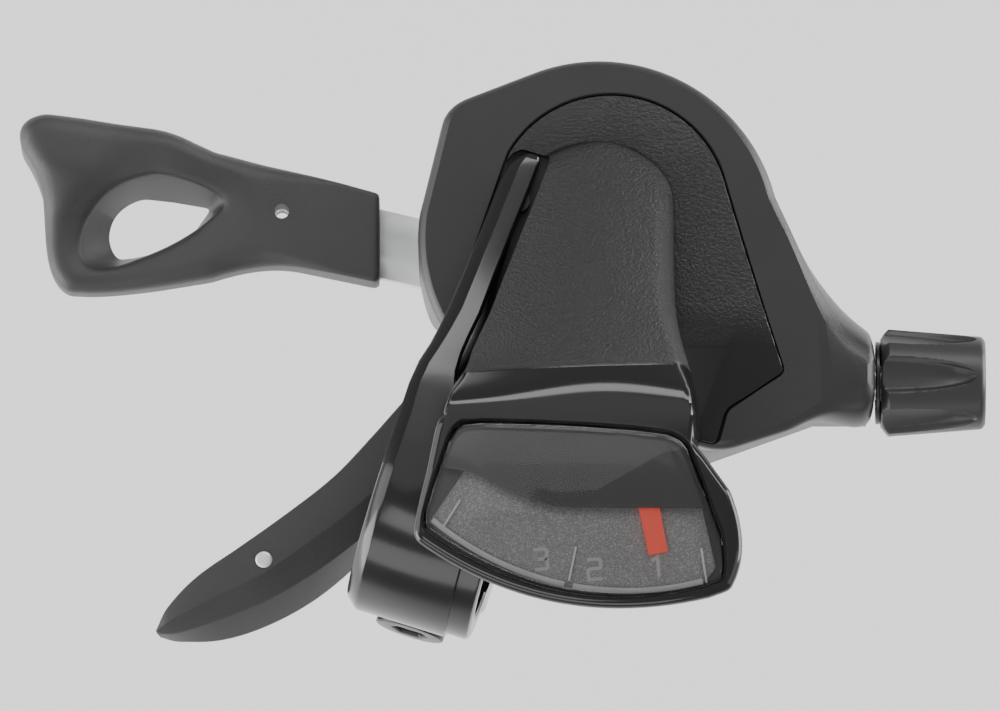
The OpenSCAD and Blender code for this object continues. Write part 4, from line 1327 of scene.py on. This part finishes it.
THUMB_SHARES = (0.0, 0.06, 0.16, 0.3, 0.45, 0.6, 0.75, 0.9, 1.0)
THUMB_LINES = {  # the edges that run along the pad, x, y and z at each share, and how round each is
    "back": (0.8, [
        (-54.1, -40.2, -23.2), (-52.4, -37.5, -24.8), (-49.0, -33.9, -25.5), (-43.6, -30.1, -25.7),
        (-37.6, -25.8, -25.7), (-32.2, -21.5, -25.7), (-27.6, -16.6, -25.7), (-22.8, -11.0, -25.7),
        (-20.4, -9.0, -25.7)]),
    "upper edge": (0.35, [
        (-54.2, -40.1, -20.9), (-52.8, -37.3, -20.4), (-49.4, -33.7, -20.1), (-44.0, -29.9, -19.9),
        (-38.0, -25.6, -19.7), (-32.6, -21.3, -19.5), (-28.0, -16.4, -19.45), (-23.0, -10.8, -19.4),
        (-20.4, -8.9, -19.4)]),
    "ridge": (0.16, [
        (-54.2, -40.3, -20.8), (-52.4, -39.1, -20.1), (-47.6, -36.6, -19.6), (-42.0, -33.9, -19.45),
        (-36.6, -30.2, -19.4), (-31.6, -26.5, -19.4), (-26.6, -22.1, -19.4), (-21.4, -16.5, -19.4),
        (-18.4, -12.9, -19.4)]),
    "lower facet": (0.2, [
        (-54.0, -40.5, -21.6), (-51.5, -40.3, -21.8), (-46.8, -38.8, -21.6), (-41.0, -36.5, -21.2),
        (-35.4, -33.3, -20.8), (-30.2, -29.5, -20.5), (-25.2, -25.0, -20.5), (-19.8, -18.6, -20.5),
        (-16.8, -14.0, -20.5)]),
    "side": (0.8, [
        (-53.7, -40.6, -23.4), (-51.1, -41.1, -25.0), (-46.2, -40.9, -25.7), (-40.4, -39.0, -25.9),
        (-34.6, -35.7, -25.9), (-29.4, -31.2, -25.9), (-24.6, -26.0, -25.9), (-19.2, -19.1, -25.9),
        (-16.4, -14.4, -25.9)]),
}


def build_thumb_pad():
    """The thumb lever's pad: upper face, ridge, lower facet and side wall."""
    lift = Vector((0, 0, top_of("thumb_pad") + 19.4))
    rings = []
    count = 72
    radii, spots = zip(*THUMB_LINES.values())
    lines = [[(share, *spot) for share, spot in zip(THUMB_SHARES, line)] for line in spots]
    for i in range(count + 1):
        t = (i / count) ** 1.25
        corners = [Vector(curve_through(line, t)) + lift for line in lines]
        ring = []
        for k, corner in enumerate(corners):
            radius = radii[k] * smooth_step(t * 12)
            before, after = corners[k - 1] - corner, corners[(k + 1) % len(corners)] - corner
            first, last = (corner + way.normalized() * min(radius, way.length * 0.4)
                           for way in (before, after))
            ring += bend(tuple(first), tuple(corner), tuple(last), 4)
        rings.append(ring)
    pad = stack("thumb_pad_grip", rings, sharp=36)
    top = top_of("thumb_pad")
    cut(pad, prism("rivet_seat", circle(rivet_centre(), 1.12), top - 1.6, top + 1))
    tidy_solid(pad, 36)
    return settle(pad, "thumb_lever", "textured_black", finish_of("grain"), "thumb_pad")


def rivet_centre():
    """Middle of the CAD rivet, in the mechanism's frame."""
    low, high = (TO_MECHANISM @ Vector(corner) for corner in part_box("thumb_pad_rivet"))
    return ((low.x + high.x) / 2, (low.y + high.y) / 2)


def build_rivet():
    """The bright rivet head in the thumb pad."""
    at = rivet_centre()
    top = top_of("thumb_pad_rivet")
    rings = []
    for drop, radius in ((1.5, 1.05), (0.28, 1.05), (0.14, 1.0), (0.05, 0.85), (0.01, 0.6), (0.0, 0.3)):
        rings.append(at_height(circle(at, radius), top - drop))
    rivet = stack("thumb_rivet_head", rings, sharp=50)
    return settle(rivet, "thumb_lever", "zinc_steel", finish_of("zinc"), "thumb_pad_rivet")


# ---------------------------------------------------------------- cable adjuster

KNOB_R = 6.55  # at its inner end; it tapers by KNOB_TAPER
KNOB_TAPER = 1.0


def knob_radius(along, angle, length, flutes, depth):
    """Radius of the fluted barrel at a place along it and round it."""
    taper = KNOB_R - KNOB_TAPER * along / length
    rim = 0.0
    if along < 1.0:
        rim = 1.25 * (1 - along) ** 1.3
    if along > length - 0.6:
        rim = 0.5 * ((along - length + 0.6) / 0.6) ** 2
    reach = length - 1.1
    open_share = max(1 - (along / reach) ** 2.6, 0.0) ** 0.5
    half_flute = math.pi / flutes * 0.7 * open_share
    turn = (angle - math.pi / 2 + math.pi / flutes) % (2 * math.pi / flutes) - math.pi / flutes
    if half_flute < 1e-4 or abs(turn) >= half_flute:
        return taper - rim
    share = abs(turn) / half_flute
    floor = 0.45 + 0.55 * (1 - share * share)
    dip = depth * min((1 - share) * 5.0, 1.0) * floor * min(open_share * 1.4, 1.0)
    return min(taper - dip, taper - rim)


def build_knob():
    """The barrel adjuster: tapered, with wide flutes that close in a round tip near the outer end."""
    sizes = bpy.context.scene.shifter_sizes
    stations = [(TO_MECHANISM @ v.co).x for v in frame["nodes"]["barrel_adjuster"].data.vertices]
    start, length = min(stations), max(stations) - min(stations)
    socket = frame["record"]["mounts"][1]["dims"]
    bore, seat = socket["r_mm"], length - socket["length_mm"]
    back = [(length, bore + 0.3), (length - 0.3, bore), (seat, bore), (seat, 1.0), (0.3, 1.0), (0.3, 4.4),
            (0.0, 4.7)]
    turns, rows = 360, 64
    points = []
    for s in range(turns):
        angle = 2 * math.pi * s / turns
        for i in range(rows + 1):
            along = length * i / rows
            radius = knob_radius(along, angle, length, sizes.flutes, sizes.flute_depth)
            points.append(cable_frame(start + along, radius, angle))
        points += [cable_frame(start + along, radius, angle) for along, radius in back]
    faces = loop_faces(turns, rows + 1 + len(back), True)
    knob = piece_from("adjuster_barrel", points, faces, sharp=34)
    return settle(knob, "barrel_adjuster", "satin_black", finish_of("knob"), "barrel_adjuster")


# ---------------------------------------------------------------- carried-over nodes

KEPT = {
    "screw": ["clamp_nut", "main_axle", "axle_washer", "axle_nut", "holding_pawl_pin", "indicator_pivot",
              "indicator_drive_pin", "feed_pawl_pin", "release_tab", "adjuster_screw"],
    # painted shade: the bracket screws take the dark steel so that the slot round the arm reads dark
    "blackened": ["bracket_screws"],
    "hard": ["ratchet_plate", "feed_pawl", "holding_pawl"],
    "brass": ["spacer_bush", "lever_bushes", "adjuster_insert"],
    "acetal": ["cable_spool"],
}
WORKED = {  # node: edge radius, finish, slot
    "lower_cover": (0.5, "satin", "satin_black"),
    "base_plate": (0.2, "zinc", "zinc_steel"),
    "release_lever_plate": (0.14, "zinc", "zinc_steel"),
    "thumb_lever_plate": (0.2, "zinc", "zinc_steel"),
    "clamp_bolt": (0.3, "blackened", "screw_steel"),
    "base_screws": (0.12, "screw", "screw_steel"),
    "cover_screws": (0.12, "screw", "screw_steel"),
    "adjuster_collar": (0.12, "blackened", "screw_steel"),
}


def body_of(node):
    """The body that a CAD node rides on."""
    for body, members in frame["record"]["behaviour"]["bodies"].items():
        if node in members:
            return body
    raise ValueError(node + " is on no body")


def build_metalwork():
    """Rounded copies of the pressed and turned parts, and finishes for the inner ones."""
    for node, (edge, finish, slot) in WORKED.items():
        settle(worked_copy(node, edge), body_of(node), slot, finish_of(finish), node)
    for finish, nodes in KEPT.items():
        for node in nodes:
            item = frame["nodes"][node]
            for holder in item.material_slots:
                holder.material = finish_of(finish)


# ---------------------------------------------------------------- stage

def mirrored(spot, eye):
    """Where a level mirror at spot shows the eye a ceiling 1 m up."""
    way = spot - eye
    return spot + Vector((way.x / -way.z, way.y / -way.z, 1.0))


def hang_lamp(name, size, glow, place):
    """A soft rectangular light of even brightness, given its place and turn as a matrix."""
    lamp = bpy.data.lights.new(name, "AREA")
    lamp.shape = "RECTANGLE"
    lamp.size, lamp.size_y = size
    lamp.energy = glow * math.pi * size[0] * size[1]
    new_object(name, lamp).matrix_world = place


def build_stage():
    """Camera, soft lights and a pale floor."""
    scene = bpy.context.scene
    stage = scene.shifter_stage
    azimuth, elevation = stage.azimuth, stage.elevation
    right = Vector((math.cos(azimuth), math.sin(azimuth), 0))
    look = Vector((-math.sin(azimuth) * math.cos(elevation), math.cos(azimuth) * math.cos(elevation),
                   -math.sin(elevation)))
    up = right.cross(look)
    target = right * stage.aim_right + up * stage.aim_up
    camera = new_object("camera", bpy.data.cameras.new("camera"))
    camera.data.lens = 600  # long, for a view with hardly any perspective
    camera.data.sensor_width = 36
    distance = stage.width * camera.data.lens / camera.data.sensor_width
    camera.matrix_world = Matrix.Translation(target - look * distance) @ Matrix(
        (right, up, -look)).transposed().to_4x4()
    camera.data.clip_start = 0.1
    scene.camera = camera
    floor_z = CAD_BOX[0][2] - 0.25  # metres under the part, which hangs
    size = 4.0
    mesh = bpy.data.meshes.new("floor")
    mesh.from_pydata([(x * size, y * size, floor_z) for x, y in ((-1, -1), (1, -1), (1, 1), (-1, 1))], [],
                     [(0, 1, 2, 3)])
    floor = new_object("floor", mesh)
    paint = Finish("pale floor")
    paint.shade_with(Base_Color=rgba((0.92, 0.92, 0.92)), Roughness=0.9)
    mesh.materials.append(paint.material)
    world = bpy.data.worlds.new("studio")
    world.use_nodes = True
    walls = world.node_tree.nodes["Background"].inputs
    walls["Color"].default_value = (1, 1, 1, 1)
    walls["Strength"].default_value = stage.ambient
    scene.world = world
    part, below = Vector((0, 0.02, 0)), Vector((0, 0, floor_z))
    edge = [mirrored(MECHANISM @ Vector(spot), camera.location)
            for spot in ((12, -8.2, 2.5), (24.7, -0.9, 2.5))]
    along = (edge[1] - edge[0]).normalized()
    overhead = edge[0] + 0.35 * Vector((-along.y, along.x, 0))
    hang_lamp("overhead softbox", (0.7, 0.7), stage.overhead,
              Matrix.Translation(overhead) @ Matrix.Rotation(math.atan2(along.y, along.x), 4, "Z"))
    for name, place, size, glow, aim in (
            ("front softbox", (0.05, 0.75, 0.62), (1.1, 0.22), stage.front, part),
            ("left softbox", (-0.85, 0.0, 0.3), (0.5, 0.9), stage.left, part),
            ("right softbox", (0.9, 0.1, 0.42), (0.5, 0.9), stage.right, part),
            ("rider softbox", (0.0, -0.85, 0.35), (1.0, 0.4), stage.rider, part),
            ("display softbox", (-0.1, -0.48, 0.85), (0.5, 0.3), stage.display, part),
            ("floor left", (-0.7, -0.5, -0.05), (0.6, 0.6), stage.floor, below),
            ("floor right", (0.7, 0.5, -0.05), (0.6, 0.6), stage.floor, below)):
        turn = (aim - Vector(place)).to_track_quat("-Z", "Y").to_matrix().to_4x4()
        hang_lamp(name, size, glow, Matrix.Translation(place) @ turn)


# ---------------------------------------------------------------- add-on

def tint(name, note, default):
    """A colour in the panel."""
    return FloatVectorProperty(name=name, description="Colour of " + note, subtype="COLOR", default=default,
                               min=0, max=1)


def glow(name, note, default):
    """A light's strength in the panel."""
    return FloatProperty(name=name, description="Brightness of the " + note, default=default)


class ShifterLooks(bpy.types.PropertyGroup):
    """Colours that a user would change."""
    black: tint("Black", "the black plastics", (0.0188, 0.0188, 0.0192))
    dial: tint("Dial", "the dial", (0.36, 0.36, 0.362))
    mark: tint("Marks", "the numbers on the dial", (0.62, 0.62, 0.62))
    needle: tint("Needle", "the pointer", (1.0, 0.07, 0.03))


class ShifterSizes(bpy.types.PropertyGroup):
    """Sizes of surface detail that a user would change."""
    flutes: IntProperty(name="Flutes", description="Flutes round the barrel adjuster", default=6,
                        min=3, max=12)
    flute_depth: FloatProperty(name="Flute depth", description="Depth of a flute, in millimetres",
                               default=1.05, min=0.2, max=1.4)


class ShifterStage(bpy.types.PropertyGroup):
    """Camera and lights."""
    azimuth: FloatProperty(name="Azimuth", description="Turn of the camera about the object", subtype="ANGLE",
                           default=math.radians(17.5))
    elevation: FloatProperty(name="Elevation", description="Height of the camera over the horizon",
                             subtype="ANGLE", default=math.radians(80))
    aim_right: FloatProperty(name="Aim right", description="Aim, to the right of the bar", unit="LENGTH",
                             default=0.00708)
    aim_up: FloatProperty(name="Aim up", description="Aim, up from the bar", unit="LENGTH", default=0.01866)
    width: FloatProperty(name="Width", description="Width of the view at the object", unit="LENGTH",
                         default=0.12)
    front: glow("Front", "front softbox", 6.0)
    left: glow("Left", "left softbox", 2.6)
    right: glow("Right", "right softbox", 1.2)
    rider: glow("Rider side", "softbox on the rider's side", 2.5)
    display: glow("Display", "softbox over the display", 3.0)
    overhead: glow("Overhead", "overhead softbox", 0.6)
    floor: glow("Floor", "two floor lights", 8.0)
    ambient: glow("Ambient", "studio's walls", 0.42)


def builder(idname, label, note, *steps):
    """An operator that runs the given building steps."""

    def execute(self, context):
        for step in steps:
            step()
        return {"FINISHED"}

    return type("SHIFTER_OT_" + idname, (bpy.types.Operator,), {
        "__doc__": note, "bl_idname": "shifter." + idname, "bl_label": label, "execute": execute})


OPERATORS = [
    builder("stage", "Stage", "Makes the camera, lights and floor", build_stage),
    builder("housing", "Housing", "Builds the housing's shell", build_housing),
    builder("cover", "Centre cover", "Builds the centre cover with its dome and display pod", build_cover),
    builder("clamp", "Clamp", "Builds the clamp band and its arm", build_clamp),
    builder("display", "Display", "Builds the window, panel, dial, numbers, ribs and needle",
            build_lens, build_panel, build_dial, build_digits, build_strips, build_ribs, build_needle),
    builder("release", "Release paddle", "Builds the release lever's paddle", build_paddle),
    builder("thumb", "Thumb pad", "Builds the thumb lever's pad and rivet", build_thumb_pad, build_rivet),
    builder("knob", "Barrel adjuster", "Builds the fluted barrel adjuster", build_knob),
    builder("springs", "Springs", "Winds the six wire springs", build_coils),
    builder("metalwork", "Metalwork", "Rounds and finishes the metal parts", build_metalwork),
]


class SHIFTER_PT_panel(bpy.types.Panel):
    """Lists the building steps and the values that they use"""
    bl_idname = "SHIFTER_PT_panel"
    bl_label = "Thumb shifter"
    bl_space_type = "VIEW_3D"
    bl_region_type = "UI"
    bl_category = "Shifter"

    def draw(self, context):
        for operator in OPERATORS:
            self.layout.operator(operator.bl_idname)
        for group in (getattr(context.scene, key) for key in GROUPS):
            box = self.layout.box()
            for key in group.bl_rna.properties.keys():
                if key not in ("rna_type", "name"):
                    box.prop(group, key)


GROUPS = {"shifter_looks": ShifterLooks, "shifter_sizes": ShifterSizes, "shifter_stage": ShifterStage}
CLASSES = [*GROUPS.values(), *OPERATORS, SHIFTER_PT_panel]


def register():
    """Adds the panel, its operators and its values to Blender."""
    for each in CLASSES:
        bpy.utils.register_class(each)
    for key, group in GROUPS.items():
        setattr(bpy.types.Scene, key, PointerProperty(type=group))


def unregister():
    """Takes them away again."""
    for key in GROUPS:
        delattr(bpy.types.Scene, key)
    for each in reversed(CLASSES):
        bpy.utils.unregister_class(each)


def main():
    """Runs every building step, and writes the CAD's and the visual model's boxes."""
    register()
    for operator in OPERATORS:
        name = operator.bl_idname.split(".")[1]
        getattr(bpy.ops.shifter, name)()


if __name__ == "__main__":
    main()
